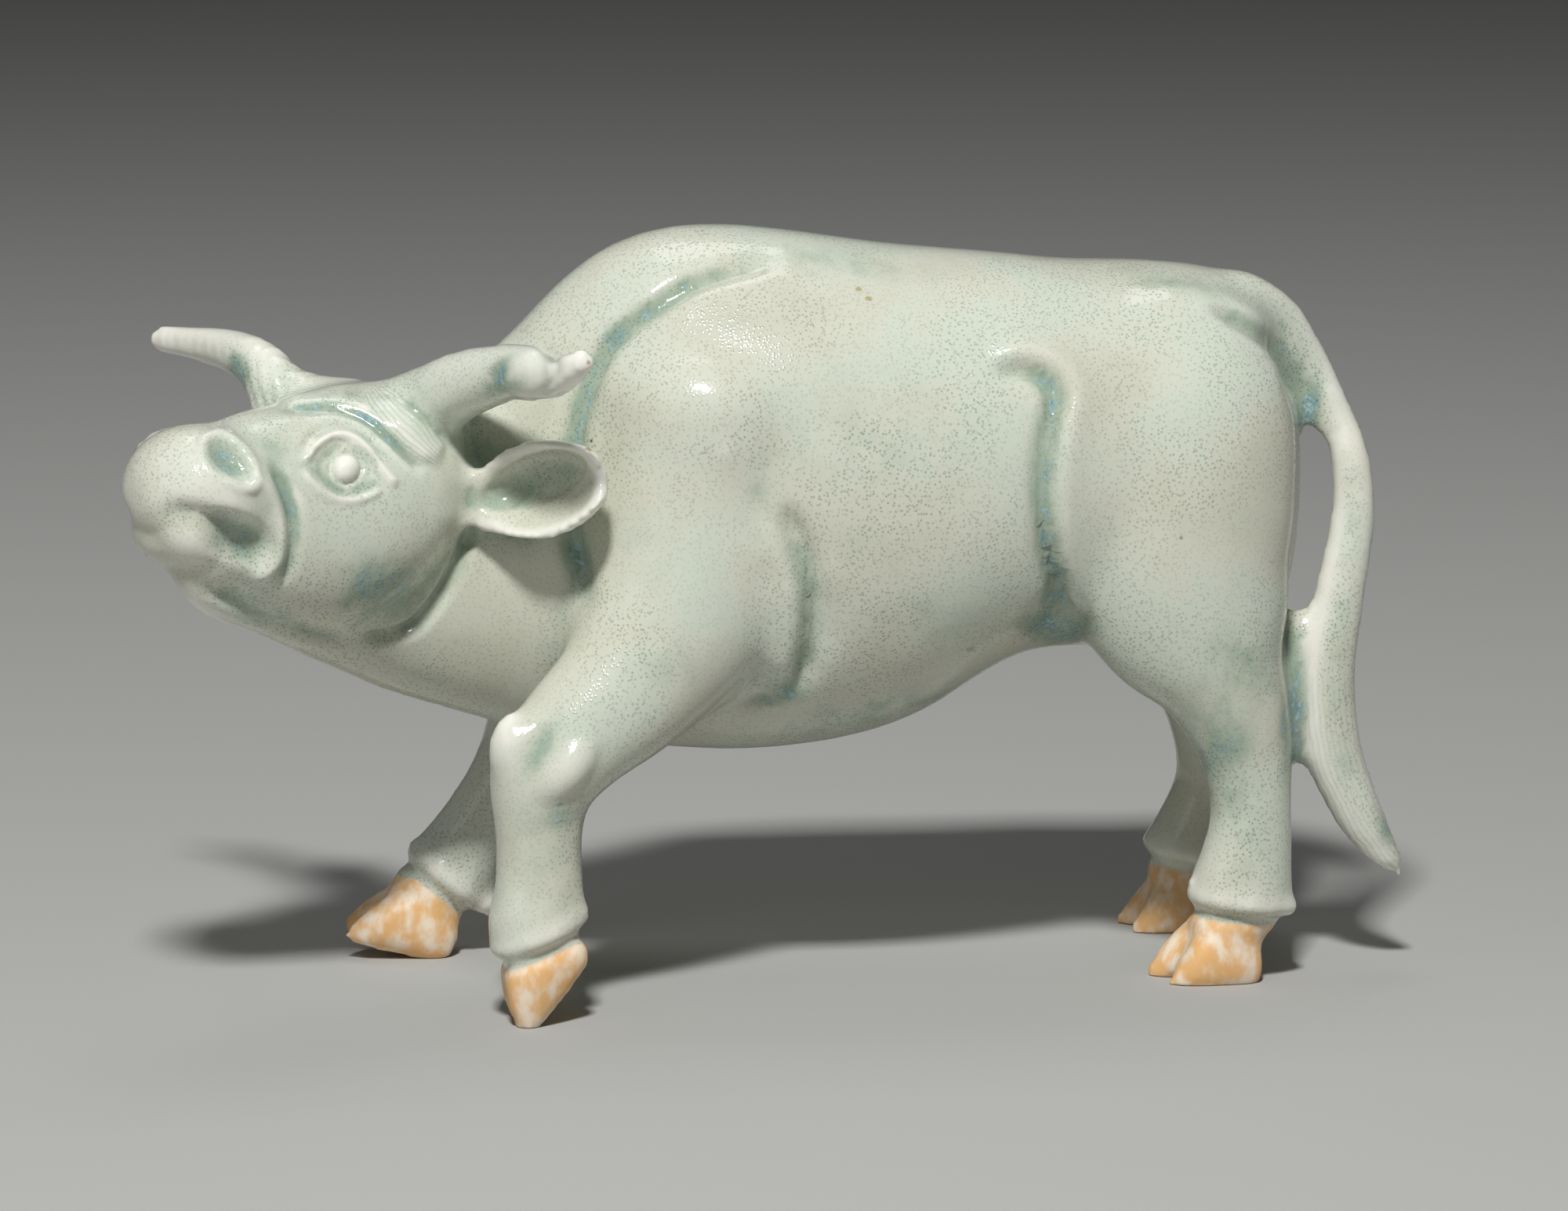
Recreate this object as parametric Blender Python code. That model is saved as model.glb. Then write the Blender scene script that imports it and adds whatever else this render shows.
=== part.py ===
"""Hollow celadon porcelain water dropper in the form of a walking water buffalo.

The beast faces -X, its head turned to its left (-Y) and its near forehoof flexed on the toe.
It is one casting with a water chamber in trunk and neck, a filling hole beside the spine and a
fine pouring hole that opens in the mouth. Units are metres and +Z is up.
"""

import math

import bmesh
import bpy
import numpy as np
from mathutils import Matrix, Vector

# Driving dimensions
LENGTH = 0.151  # muzzle to tail tip
WALL = 0.004  # porcelain between the water chamber and the outside of trunk and neck
FILL_BORE = 0.0035  # filling hole beside the spine
SPOUT_BORE = 0.0018  # pouring hole from the neck to the mouth

# The form's tables are in millimetres of a beast FORM_LENGTH long, and LENGTH scales them
FORM_LENGTH = 151.0
UNIT = LENGTH / FORM_LENGTH
GRAIN = 0.95  # finest clay detail kept, in form millimetres
TRIANGLES = 7900  # faces left on the outside
SIDES = 28  # points round each modelled section
MIDLINE = -2.5  # y of the trunk's middle plane

# Glaze as the photo shows it
GLAZE_COLOUR = (0.60, 0.66, 0.56, 1.0)
GLAZE_ROUGHNESS = 0.12

# Trunk and neck, from rump to chin: x, y, height of the top line, of the under line, half width
TRUNK = (
    (57.4, -2.5, 76.0, 40.0, 11.0),
    (55.0, -2.5, 80.2, 38.9, 16.0),
    (50.0, -2.5, 82.6, 39.5, 19.0),
    (42.0, -2.5, 83.5, 38.0, 21.0),
    (33.0, -2.5, 83.8, 38.0, 21.8),
    (27.5, -2.5, 84.4, 37.4, 22.3),
    (22.0, -2.5, 85.0, 34.8, 22.8),
    (16.5, -2.5, 85.5, 31.3, 23.2),
    (11.0, -2.5, 86.1, 29.0, 23.4),
    (5.0, -2.5, 87.0, 27.6, 23.4),
    (-1.0, -2.5, 87.9, 26.9, 23.0),
    (-7.0, -2.5, 88.5, 26.7, 21.8),
    (-12.0, -2.6, 88.5, 27.0, 20.4),
    (-17.0, -2.6, 87.7, 27.4, 18.8),
    (-22.5, -2.7, 85.3, 28.0, 16.4),
    (-28.0, -2.9, 80.9, 29.0, 14.2),
    (-34.0, -3.2, 74.8, 30.4, 12.0),
    (-42.0, -5.6, 68.5, 33.2, 9.8),
    (-48.0, -9.0, 65.0, 35.7, 8.0),
    (-54.2, -13.2, 61.0, 39.1, 6.2),
    (-60.0, -17.6, 58.0, 42.3, 4.8),
    (-65.3, -21.6, 56.0, 45.2, 3.7),
    (-69.6, -25.2, 56.0, 47.5, 2.9),
    (-72.2, -27.4, 57.0, 50.3, 2.3),
)

# Limbs from shoulder or hip to pastern: x, y, z, half width across, half width fore and aft
NEAR_FORELEG = (
    (-9.0, -5.0, 75.0, 10.5, 13.5),
    (-10.2, -6.5, 68.0, 17.6, 16.4),
    (-12.4, -9.5, 57.0, 16.8, 14.4),
    (-14.8, -15.2, 46.5, 12.2, 12.4),
    (-21.0, -20.2, 38.0, 8.0, 8.8),
    (-27.5, -22.5, 32.6, 6.8, 7.2),
    (-31.5, -23.6, 27.8, 6.2, 6.4),
    (-32.1, -24.0, 21.8, 4.9, 5.1),
    (-32.1, -24.5, 15.8, 4.9, 5.1),
    (-32.6, -25.0, 11.3, 5.5, 5.6),
    (-32.4, -25.0, 7.6, 4.4, 4.6),
)
FAR_FORELEG = (
    (-9.0, 0.0, 75.0, 10.5, 13.5),
    (-10.2, 1.5, 68.0, 17.6, 16.4),
    (-12.4, 4.5, 57.0, 16.8, 14.4),
    (-15.2, 10.0, 46.5, 12.0, 12.4),
    (-20.8, 13.4, 38.0, 7.8, 8.6),
    (-25.2, 13.4, 32.4, 6.6, 6.8),
    (-28.4, 13.0, 26.6, 5.5, 5.6),
    (-31.6, 12.6, 20.4, 4.8, 4.9),
    (-35.6, 12.5, 14.4, 4.7, 4.9),
    (-38.6, 12.5, 9.8, 5.2, 5.6),
    (-41.6, 12.5, 6.8, 4.3, 4.4),
)
NEAR_HINDLEG = (
    (44.0, -10.0, 74.0, 8.0, 12.5),
    (43.6, -13.0, 66.0, 10.4, 14.6),
    (43.2, -14.0, 57.0, 10.8, 15.0),
    (44.2, -14.6, 48.0, 10.2, 13.6),
    (47.0, -15.2, 40.5, 8.8, 11.2),
    (49.3, -15.6, 35.5, 7.5, 7.7),
    (51.1, -15.8, 31.0, 6.5, 6.5),
    (52.3, -15.9, 26.0, 5.4, 5.4),
    (52.9, -16.0, 19.5, 4.8, 4.9),
    (52.4, -16.0, 14.3, 5.0, 5.6),
    (51.5, -16.0, 10.0, 5.4, 6.2),
    (50.4, -16.0, 7.2, 4.6, 4.9),
)
FAR_HINDLEG = (
    (44.0, 5.0, 74.0, 8.0, 12.5),
    (43.6, 8.0, 66.0, 10.4, 14.6),
    (43.4, 9.0, 57.0, 10.8, 15.0),
    (45.2, 9.8, 48.0, 10.2, 13.6),
    (48.4, 10.6, 40.5, 8.8, 10.6),
    (51.4, 11.4, 35.0, 7.4, 8.0),
    (53.8, 12.0, 30.0, 6.2, 6.4),
    (54.9, 12.4, 24.5, 5.3, 5.4),
    (55.2, 12.6, 18.5, 4.8, 4.9),
    (53.6, 12.8, 13.0, 5.0, 5.4),
    (52.4, 13.0, 9.6, 5.4, 6.0),
    (51.6, 13.0, 7.0, 4.6, 4.9),
)
# Hooves: x, y, z of the sole's middle, how far the toe points down in degrees, and the share of
# the toe's length that the claw nearer to -Y has
HOOVES = (
    (-29.7, -25.0, 2.9, 52.0, 1.0),
    (-45.2, 12.5, 0.3, -15.0, 1.0),
    (47.5, -15.6, -1.3, 0.0, 0.68),
    (50.2, 13.0, -1.3, 0.0, 0.9),
)
# One claw from heel to toe: distance along the sole, height, half width
CLAW = (
    (-4.7, 6.2, 2.1),
    (-2.8, 8.2, 2.5),
    (0.0, 8.4, 2.6),
    (2.6, 6.8, 2.4),
    (4.6, 4.6, 1.9),
    (5.6, 3.0, 1.2),
)
CLAW_SPREAD = 2.55  # from the hoof's middle to each claw's
DEWCLAWS = (
    (-28.2, -26.6, 13.0),
    (-28.2, -23.2, 13.0),
    (-34.4, 10.8, 6.6),
    (-34.4, 14.2, 6.6),
    (56.4, -17.8, 8.8),
    (56.4, -14.2, 8.8),
    (58.2, 11.2, 8.8),
    (58.2, 14.8, 8.8),
)
KNEES = (
    ((-35.5, -25.4, 31.6), (2.6, 3.0, 4.6)),
    ((-30.2, -28.6, 28.7), (3.0, 2.2, 4.8)),
    ((-31.6, 11.6, 28.6), (2.4, 3.0, 3.2)),
)

# Tail from rump to tip: x, y, z, half width across, half width fore and aft
TAIL = (
    (53.5, -2.5, 79.6, 5.0, 2.9),
    (58.0, -2.5, 77.2, 3.8, 2.7),
    (61.2, -2.8, 73.4, 2.7, 2.2),
    (63.4, -3.3, 69.6, 2.3, 2.0),
    (65.3, -4.4, 64.8, 2.2, 2.1),
    (66.6, -6.0, 60.2, 2.3, 2.4),
    (66.6, -8.0, 53.2, 2.5, 2.7),
    (64.4, -10.5, 43.8, 2.7, 3.1),
    (62.7, -12.0, 34.5, 2.8, 3.4),
    (63.5, -12.5, 26.2, 2.8, 3.5),
    (65.3, -12.5, 21.4, 2.7, 3.2),
    (67.4, -12.5, 17.2, 2.3, 2.8),
    (69.6, -12.5, 14.0, 1.8, 2.1),
    (72.0, -12.5, 11.2, 0.8, 0.9),
)
# Webs of glaze and clay that tie the tail to the rump and to the near hock
UPPER_WEB = (
    (59.6, -3.0, 72.6, 1.6, 2.2),
    (61.8, -3.4, 67.8, 1.4, 2.2),
    (63.6, -4.4, 63.8, 1.2, 1.3),
)
LOWER_WEB = (
    (58.9, -10.8, 41.8, 1.3, 1.7),
    (58.9, -11.6, 39.0, 1.6, 2.2),
    (58.7, -12.2, 35.0, 1.8, 2.4),
    (58.7, -13.0, 29.5, 1.9, 2.4),
    (59.5, -12.8, 25.8, 1.5, 1.6),
)

# Head, in its own axes: forward to the muzzle, to its left, up
HEAD_AT = Vector((-47.0, -8.6, 57.7))
HEAD_TURN = math.radians(34.0)
HEAD_LIFT = math.radians(9.7)
HEAD_ROLL = math.radians(4.9)
# Skull from nape to nose: forward, height of the top line, of the jaw line, half width
SKULL = (
    (-6.0, 8.0, -5.0, 7.6),
    (-2.0, 12.2, -8.5, 10.8),
    (3.0, 13.6, -12.6, 12.4),
    (8.5, 13.0, -15.0, 12.4),
    (13.5, 11.4, -15.6, 11.4),
    (18.0, 10.0, -14.8, 10.2),
    (22.0, 9.0, -13.4, 9.2),
    (26.0, 7.4, -11.0, 7.6),
)
MUZZLE = ((28.2, 0.0, -0.8), (8.8, 9.4, 8.0))
CHIN = ((26.0, 0.0, -7.2), (6.2, 6.4, 4.4))
LIP = ((30.2, 0.0, -6.0), (2.4, 4.4, 2.0))
# Horns, in the head's axes: forward, left, up, half thickness
NEAR_HORN = (
    (1.6, 3.0, 10.0, 4.6),
    (1.3, 7.5, 11.6, 4.5),
    (1.5, 14.1, 13.8, 3.9),
    (1.7, 21.0, 15.0, 3.3),
    (2.2, 25.4, 14.9, 3.2),
    (2.6, 28.2, 14.5, 2.8),
    (3.0, 30.4, 14.4, 2.3),
    (3.5, 32.8, 15.1, 2.1),
    (3.9, 35.6, 16.1, 1.6),
)
FAR_HORN = (
    (3.0, -4.0, 10.0, 4.2),
    (6.5, -8.5, 10.4, 4.0),
    (8.6, -11.4, 12.0, 3.6),
    (9.1, -14.2, 14.8, 3.1),
    (8.8, -20.5, 16.7, 2.6),
    (8.9, -27.0, 17.4, 2.1),
    (9.3, -32.8, 17.8, 1.7),
)
# Ear, in the head's axes; the rows run from stalk to tip: share of its length, half width, depth
EAR_ROOT = Vector((-2.1, 9.6, 0.0))
EAR_TIP = Vector((-6.8, 28.8, 4.1))
EAR_FACES = Vector((0.93, 0.34, -0.1))
EAR_SHELL = 2.2
EAR = (
    (0.0, 3.3, 3.2),
    (0.14, 3.8, 3.5),
    (0.3, 5.2, 4.4),
    (0.5, 5.9, 4.8),
    (0.7, 5.5, 4.5),
    (0.86, 4.3, 3.6),
    (0.95, 3.0, 2.9),
)

# Folds pressed into the flanks, in side view: x and z from end to end
SHOULDER_FOLD = (
    (-6.0, 85.0),
    (-13.0, 83.0),
    (-19.0, 79.0),
    (-23.5, 74.0),
    (-26.0, 67.0),
    (-26.8, 55.0),
    (-24.4, 43.5),
)
ELBOW_FOLD = ((-5.0, 59.5), (-1.8, 53.5), (-0.8, 46.0), (-1.8, 39.5), (-5.0, 35.5))
FLANK_FOLD = (
    (22.0, 73.2),
    (26.4, 72.8),
    (28.2, 70.2),
    (27.3, 66.0),
    (26.8, 60.5),
    (27.6, 53.0),
    (28.4, 44.0),
)
# Each fold with its half width and depth
FLANK_FOLDS = (
    (SHOULDER_FOLD, 1.9, 1.3),
    (ELBOW_FOLD, 1.7, 1.5),
    (FLANK_FOLD, 2.2, 1.2),
)

# Folds of the face, in the head's axes: forward and up from end to end
MOUTH_LINE = ((35.6, -4.2), (32.0, -4.9), (28.5, -6.4), (25.0, -7.4))
JAW_FOLD = ((23.2, 7.0), (21.2, 2.0), (20.8, -4.0), (22.6, -10.0))
BROW_FOLD = ((19.8, 9.4), (14.3, 9.6), (12.0, 8.8), (9.3, 6.8), (7.4, 5.0), (4.6, 3.4))
FACE_FOLDS = (
    (JAW_FOLD, 1.6, 0.6),
    (BROW_FOLD, 0.9, 0.6),
    (MOUTH_LINE, 1.3, 1.1),
)
# Swellings and dishes of the face: middle forward and up, radii the same way, height
EYE = (16.0, 3.0)
FACE_SWELLS = (
    ((26.2, -7.0), (3.8, 2.4), -1.3),
    (EYE, (5.0, 3.6), 0.7),
    (EYE, (3.4, 3.0), -0.6),
    (EYE, (2.0, 2.0), 1.5),
    ((30.8, 2.9), (3.4, 2.3), -1.9),
)

# Chamber and bores
CHAMBER_FROM = 2  # first row of TRUNK that the chamber follows
CHAMBER_TO = 18  # last one
CHAMBER_SIDES = 20
FILL_AT = (6.0, 5.0)  # x and y of the filling hole, just beyond the spine
SPOUT_MOUTH = Vector((38.0, -8.0, -4.6))  # in the head's axes, clear of the far side of the lips
SPOUT_INNER = Vector((-36.0, -5.5, 55.0))  # end of the pouring hole inside the neck


def head_frame():
    """Axes of the turned, lifted and rolled head in form millimetres."""
    turn = Matrix.Rotation(math.pi + HEAD_TURN, 4, "Z")
    lift = Matrix.Rotation(-HEAD_LIFT, 4, "Y")
    roll = Matrix.Rotation(HEAD_ROLL, 4, "X")
    return Matrix.Translation(HEAD_AT) @ turn @ lift @ roll


def smooth_rows(rows, steps=4):
    """Rows of a table with steps smooth ones between each two."""
    rows = np.array(rows, dtype=float)
    first = 2 * rows[0] - rows[1]
    last = 2 * rows[-1] - rows[-2]
    line = np.vstack((first, rows, last))
    out = []
    for a, b, c, d in zip(line, line[1:], line[2:], line[3:]):
        for step in range(steps):
            t = step / steps
            bend = 2 * a - 5 * b + 4 * c - d
            twist = 3 * b - a - 3 * c + d
            out.append((2 * b + (c - a) * t + bend * t**2 + twist * t**3) / 2)
    out.append(rows[-1])
    return np.array(out)


def skin(form, rings):
    """Close a row of rings of points into a solid."""
    loops = [[form.verts.new(point) for point in ring] for ring in rings]
    for one, two in zip(loops, loops[1:]):
        for i in range(len(one)):
            j = (i + 1) % len(one)
            form.faces.new((one[i], one[j], two[j], two[i]))
    form.faces.new(list(reversed(loops[0])))
    form.faces.new(loops[-1])


def section(middle, across, up, half_across, half_up, sides=SIDES):
    """Ring of points round an oval section."""
    turns = np.linspace(0.0, 2 * math.pi, sides, endpoint=False)
    return [
        middle + across * (half_across * math.cos(turn)) + up * (half_up * math.sin(turn))
        for turn in turns
    ]


def limb(form, rows, across=(0, 1, 0), upright=False, place=Matrix(), dome=1.0, steps=4, sides=SIDES):
    """Round-ended solid through rows of x, y, z, half width across and half width the other way."""
    rows = smooth_rows(rows, steps)
    middles = [Vector(row[:3]) for row in rows]
    rings = []
    for i, row in enumerate(rows):
        along = middles[min(i + 1, len(rows) - 1)] - middles[max(i - 1, 0)]
        if upright:
            along.z = 0.0
        along.normalize()
        side = Vector(across)
        if upright:
            side = Vector((0, 0, 1)).cross(along)
        side = (side - along * side.dot(along)).normalized()
        up = along.cross(side)
        ends = []
        if i in (0, len(rows) - 1):
            out = -1 if i == 0 else 1
            bulge = min(row[3], row[4]) * out * dome
            ends = [(along * (bulge * math.sin(lean)), math.cos(lean)) for lean in (0.5, 1.0, 1.4)]
        if i == 0:
            ends = list(reversed(ends)) + [(Vector(), 1.0)]
        else:
            ends = [(Vector(), 1.0)] + ends
        for shift, share in ends:
            rings.append(section(middles[i] + shift, side, up, row[3] * share, row[4] * share, sides))
    skin(form, [[place @ point for point in ring] for ring in rings])


def ball(form, middle, radii, place=Matrix()):
    """Oval lump of clay."""
    shape = place @ Matrix.Translation(middle) @ Matrix.Diagonal((*radii, 1.0))
    bmesh.ops.create_icosphere(form, subdivisions=3, radius=1.0, matrix=shape)


def barrel_rows(rows, inset=0.0):
    """Trunk rows as limb rows, drawn in by an inset on every side."""
    return [
        (x, y, (top + low) / 2, half - inset, (top - low) / 2 - inset)
        for x, y, top, low, half in rows
    ]


def add_hoof(form, x, y, z, toe_down, near_toe):
    """Cloven hoof on the middle of its sole."""
    stand = Matrix.Translation((x, y, z)) @ Matrix.Rotation(-math.radians(toe_down), 4, "Y")
    for side, toe in ((-1, near_toe), (1, 1.0)):
        rows = [
            (-t * (toe if t > 0 else 1.0), side * CLAW_SPREAD, high / 2, half, high / 2)
            for t, high, half in CLAW
        ]
        limb(form, rows, upright=True, place=stand)


def add_head(form):
    """Skull, muzzle, horns and ears."""
    head = head_frame()
    rows = [(f, 0.0, (top + low) / 2, half, (top - low) / 2) for f, top, low, half in SKULL]
    limb(form, rows, upright=True, place=head)
    for middle, radii in (MUZZLE, CHIN, LIP):
        ball(form, middle, radii, head)
    for horn in (NEAR_HORN, FAR_HORN):
        limb(form, [(f, s, h, r, r) for f, s, h, r in horn], across=(1, 0, 0), place=head)
    for side in (1, -1):
        add_ear(form, head @ Matrix.Diagonal((1, side, 1, 1)))


def add_ear(form, place):
    """Cupped ear on a short stalk, open towards the muzzle."""
    along = EAR_TIP - EAR_ROOT
    length = along.length
    along.normalize()
    face = (EAR_FACES - along * EAR_FACES.dot(along)).normalized()
    wide = along.cross(face)
    turns = np.linspace(0.0, math.pi, SIDES // 2)
    rings = []
    for share, half, depth in smooth_rows(EAR):
        middle = EAR_ROOT + along * (share * length)
        hollow = max(0.0, min(1.0, (share - 0.1) / 0.16)) * (depth - EAR_SHELL)
        back = [middle + wide * (half * math.cos(a)) - face * (depth * math.sin(a)) for a in turns]
        inner = half - 0.55 * EAR_SHELL
        front = [
            middle + wide * (inner * math.cos(a)) + face * (0.5 - (0.5 + hollow) * math.sin(a))
            for a in reversed(turns)
        ]
        rings.append(back + front)
    skin(form, [[place @ point for point in ring] for ring in rings])


def clay_form():
    """Every mass of the beast as overlapping closed lumps."""
    form = bmesh.new()
    limb(form, barrel_rows(TRUNK), upright=True, dome=0.3)
    for leg in (NEAR_FORELEG, FAR_FORELEG, NEAR_HINDLEG, FAR_HINDLEG):
        limb(form, leg)
    for hoof in HOOVES:
        add_hoof(form, *hoof)
    for x, y, z in DEWCLAWS:
        ball(form, (x, y, z), (1.7, 1.5, 1.9))
    for middle, radii in KNEES:
        ball(form, middle, radii)
    for rows in (TAIL, UPPER_WEB, LOWER_WEB):
        limb(form, rows)
    add_head(form)
    bmesh.ops.recalc_face_normals(form, faces=form.faces)
    return form


def add_object(name, form):
    """Object made of a finished form."""
    mesh = bpy.data.meshes.new(name)
    form.to_mesh(mesh)
    form.free()
    thing = bpy.data.objects.new(name, mesh)
    bpy.context.scene.collection.objects.link(thing)
    return thing


def settle(thing):
    """Replace a modified object's mesh by its result."""
    bpy.context.view_layer.update()
    result = thing.evaluated_get(bpy.context.evaluated_depsgraph_get())
    mesh = bpy.data.meshes.new_from_object(result)
    thing.modifiers.clear()
    thing.data = mesh


def soften(form, verts, rounds):
    """Smooth some vertices by a few rounds."""
    for _ in range(rounds):
        bmesh.ops.smooth_vert(
            form, verts=verts, factor=0.5, use_axis_x=True, use_axis_y=True, use_axis_z=True
        )


def knead(thing):
    """Join the lumps into one skin and soften it, thin limbs less than the body."""
    fuse = thing.modifiers.new("fuse", "REMESH")
    fuse.mode = "VOXEL"
    fuse.voxel_size = GRAIN
    settle(thing)
    form = bmesh.new()
    form.from_mesh(thing.data)
    to_head = head_frame().inverted()
    body = []
    limbs = []
    for vert in form.verts:
        near = to_head @ vert.co
        horn = near.z > 9.0 and abs(near.y) > 8.0 and near.x < 14.0
        ear = abs(near.y) > 13.0 and near.x < 6.0 and near.z > -8.0
        tail = vert.co.x > 61.0 or vert.co.z < 12.0
        if (horn or ear) and vert.co.x < -22.0 and abs(vert.co.y) > 16.0 or tail:
            limbs.append(vert)
        else:
            body.append(vert)
    soften(form, body, 9)
    soften(form, limbs, 2)
    form.to_mesh(thing.data)
    form.free()


def read_skin(mesh):
    """Places and normals of a mesh's vertices."""
    places = np.empty(len(mesh.vertices) * 3)
    mesh.vertices.foreach_get("co", places)
    normals = np.empty(len(mesh.vertices) * 3)
    mesh.vertices.foreach_get("normal", normals)
    return places.reshape(-1, 3), normals.reshape(-1, 3)


def put_skin(mesh, places):
    """Move a mesh's vertices."""
    mesh.vertices.foreach_set("co", places.ravel())
    mesh.update()


def distance_to_path(points, path):
    """Distance of flat points from a path drawn through a few places."""
    path = smooth_rows(path)
    best = np.full(len(points), np.inf)
    for start, end in zip(path, path[1:]):
        run = end - start
        share = np.clip((points - start) @ run / (run @ run), 0.0, 1.0)
        gap = np.linalg.norm(points - start - share[:, None] * run, axis=1)
        best = np.minimum(best, gap)
    return best


def press(places, normals, spots, path, width, depth, where):
    """Press a soft groove along a path drawn among flat spots, where the mask allows it."""
    gap = distance_to_path(spots, path)
    push = depth * np.exp(-((gap / width) ** 2)) * where
    return places - normals * push[:, None]


def fold_flanks(mesh):
    """Grooves that part neck, shoulder, barrel and thigh, on both sides."""
    places, normals = read_skin(mesh)
    for side in (-1, 1):
        faces = (normals[:, 1] * side > 0.15) & ((places[:, 1] - MIDLINE) * side > 8.0)
        for path, width, depth in FLANK_FOLDS:
            places = press(places, normals, places[:, [0, 2]], path, width, depth, faces)
    put_skin(mesh, places)


def swell(places, normals, spots, middle, radii, height, where):
    """Raise an oval bump, or press a dish when height is negative, where the mask allows it."""
    gap = np.linalg.norm((spots - np.array(middle)) / np.array(radii), axis=1)
    push = height * np.clip(1.0 - gap**2, 0.0, 1.0) * where
    return places + normals * push[:, None]


def carve_face(mesh):
    """Eyes, nostrils, mouth and the folds of jaw and brow, on both sides of the head."""
    to_head = np.array(head_frame().inverted())
    for side in (1, -1):
        places, normals = read_skin(mesh)
        local = places @ to_head[:3, :3].T + to_head[:3, 3]
        facing = normals @ to_head[:3, :3].T
        inside = (np.abs(local[:, 1]) < 13.5) & (local[:, 0] > -4.0) & (local[:, 0] < 40.0)
        inside &= (local[:, 2] > -16.5) & (local[:, 2] < 15.0)
        cheek = inside & (local[:, 1] * side > 1.5) & (facing[:, 1] * side > 0.25)
        spots = local[:, [0, 2]]
        for path, width, depth in FACE_FOLDS:
            places = press(places, normals, spots, path, width, depth, cheek)
        for middle, radii, height in FACE_SWELLS:
            places = swell(places, normals, spots, middle, radii, height, cheek)
        put_skin(mesh, places)


def thin_out(thing):
    """Keep the form with as few faces as it needs."""
    faces = sum(len(face.vertices) - 2 for face in thing.data.polygons)
    fewer = thing.modifiers.new("fewer", "DECIMATE")
    fewer.ratio = TRIANGLES / faces
    settle(thing)


def centre_shift(mesh):
    """Move that puts the middle of the footprint's box over the origin."""
    places, _ = read_skin(mesh)
    middle = (places.min(axis=0) + places.max(axis=0)) / 2
    return Vector((-middle[0], -middle[1], 0.0))


def cut_away(thing, cutter):
    """Subtract a cutter, kept out of the render."""
    cutter.hide_render = True
    cutter.display_type = "WIRE"
    cut = thing.modifiers.new(cutter.name, "BOOLEAN")
    cut.operation = "DIFFERENCE"
    cut.solver = "EXACT"
    cut.object = cutter


def add_chamber(world):
    """Water chamber that follows trunk and neck inside the wall."""
    form = bmesh.new()
    rows = barrel_rows(TRUNK[CHAMBER_FROM : CHAMBER_TO + 1], WALL / UNIT)
    limb(form, rows, upright=True, dome=0.3, steps=1, sides=CHAMBER_SIDES)
    bmesh.ops.recalc_face_normals(form, faces=form.faces)
    bmesh.ops.transform(form, matrix=world, verts=form.verts)
    return add_object("chamber_cutter", form)


def add_bore(name, start, end, bore, sides=20):
    """Round hole between two places, in metres."""
    form = bmesh.new()
    run = end - start
    turn = run.to_track_quat("Z", "Y").to_matrix().to_4x4()
    shape = Matrix.Translation((start + end) / 2) @ turn
    bmesh.ops.create_cone(
        form,
        cap_ends=True,
        segments=sides,
        radius1=bore / 2,
        radius2=bore / 2,
        depth=run.length,
        matrix=shape,
    )
    return add_object(name, form)


def add_table(reach=0.2, depth=0.02):
    """Block below the ground that cuts the soles flat."""
    form = bmesh.new()
    shape = Matrix.Translation((0, 0, -depth / 2)) @ Matrix.Diagonal((reach, reach, depth, 1.0))
    bmesh.ops.create_cube(form, size=1.0, matrix=shape)
    return add_object("ground_cutter", form)


def glaze():
    """Pale celadon over porcelain."""
    finish = bpy.data.materials.new("celadon_porcelain")
    finish.use_nodes = True
    shader = finish.node_tree.nodes["Principled BSDF"]
    shader.inputs["Base Color"].default_value = GLAZE_COLOUR
    shader.inputs["Roughness"].default_value = GLAZE_ROUGHNESS
    shader.inputs["Metallic"].default_value = 0.0
    return finish


def main():
    for thing in list(bpy.data.objects):
        bpy.data.objects.remove(thing)
    buffalo = add_object("buffalo", clay_form())
    knead(buffalo)
    fold_flanks(buffalo.data)
    carve_face(buffalo.data)
    thin_out(buffalo)
    world = Matrix.Diagonal((UNIT, UNIT, UNIT, 1.0)) @ Matrix.Translation(centre_shift(buffalo.data))
    buffalo.data.transform(world)
    cut_away(buffalo, add_chamber(world))
    low = world @ Vector((*FILL_AT, 60.0))
    high = world @ Vector((*FILL_AT, 95.0))
    cut_away(buffalo, add_bore("fill_cutter", low, high, FILL_BORE))
    inner = world @ SPOUT_INNER
    outer = world @ head_frame() @ SPOUT_MOUTH
    cut_away(buffalo, add_bore("spout_cutter", inner, outer, SPOUT_BORE, sides=12))
    cut_away(buffalo, add_table())
    buffalo.data.materials.clear()
    buffalo.data.materials.append(glaze())
    buffalo.data.shade_smooth()


main()
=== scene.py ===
"""Looks of a hollow celadon porcelain water dropper in the form of a walking water buffalo.

The beast faces -X and turns its head to its left, towards -Y. Its masses are laid out in
millimetres, joined into one skin, carved and only then brought to metres. Carving is laid out on a
drawing sheet that faces the viewer, in steps of SHEET_STEP millimetres.
"""

from __future__ import annotations

import logging
import math
from dataclasses import dataclass, field
from enum import Enum
from typing import Any

import bmesh
import bpy
import numpy as np
from mathutils import Matrix, Vector

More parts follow.
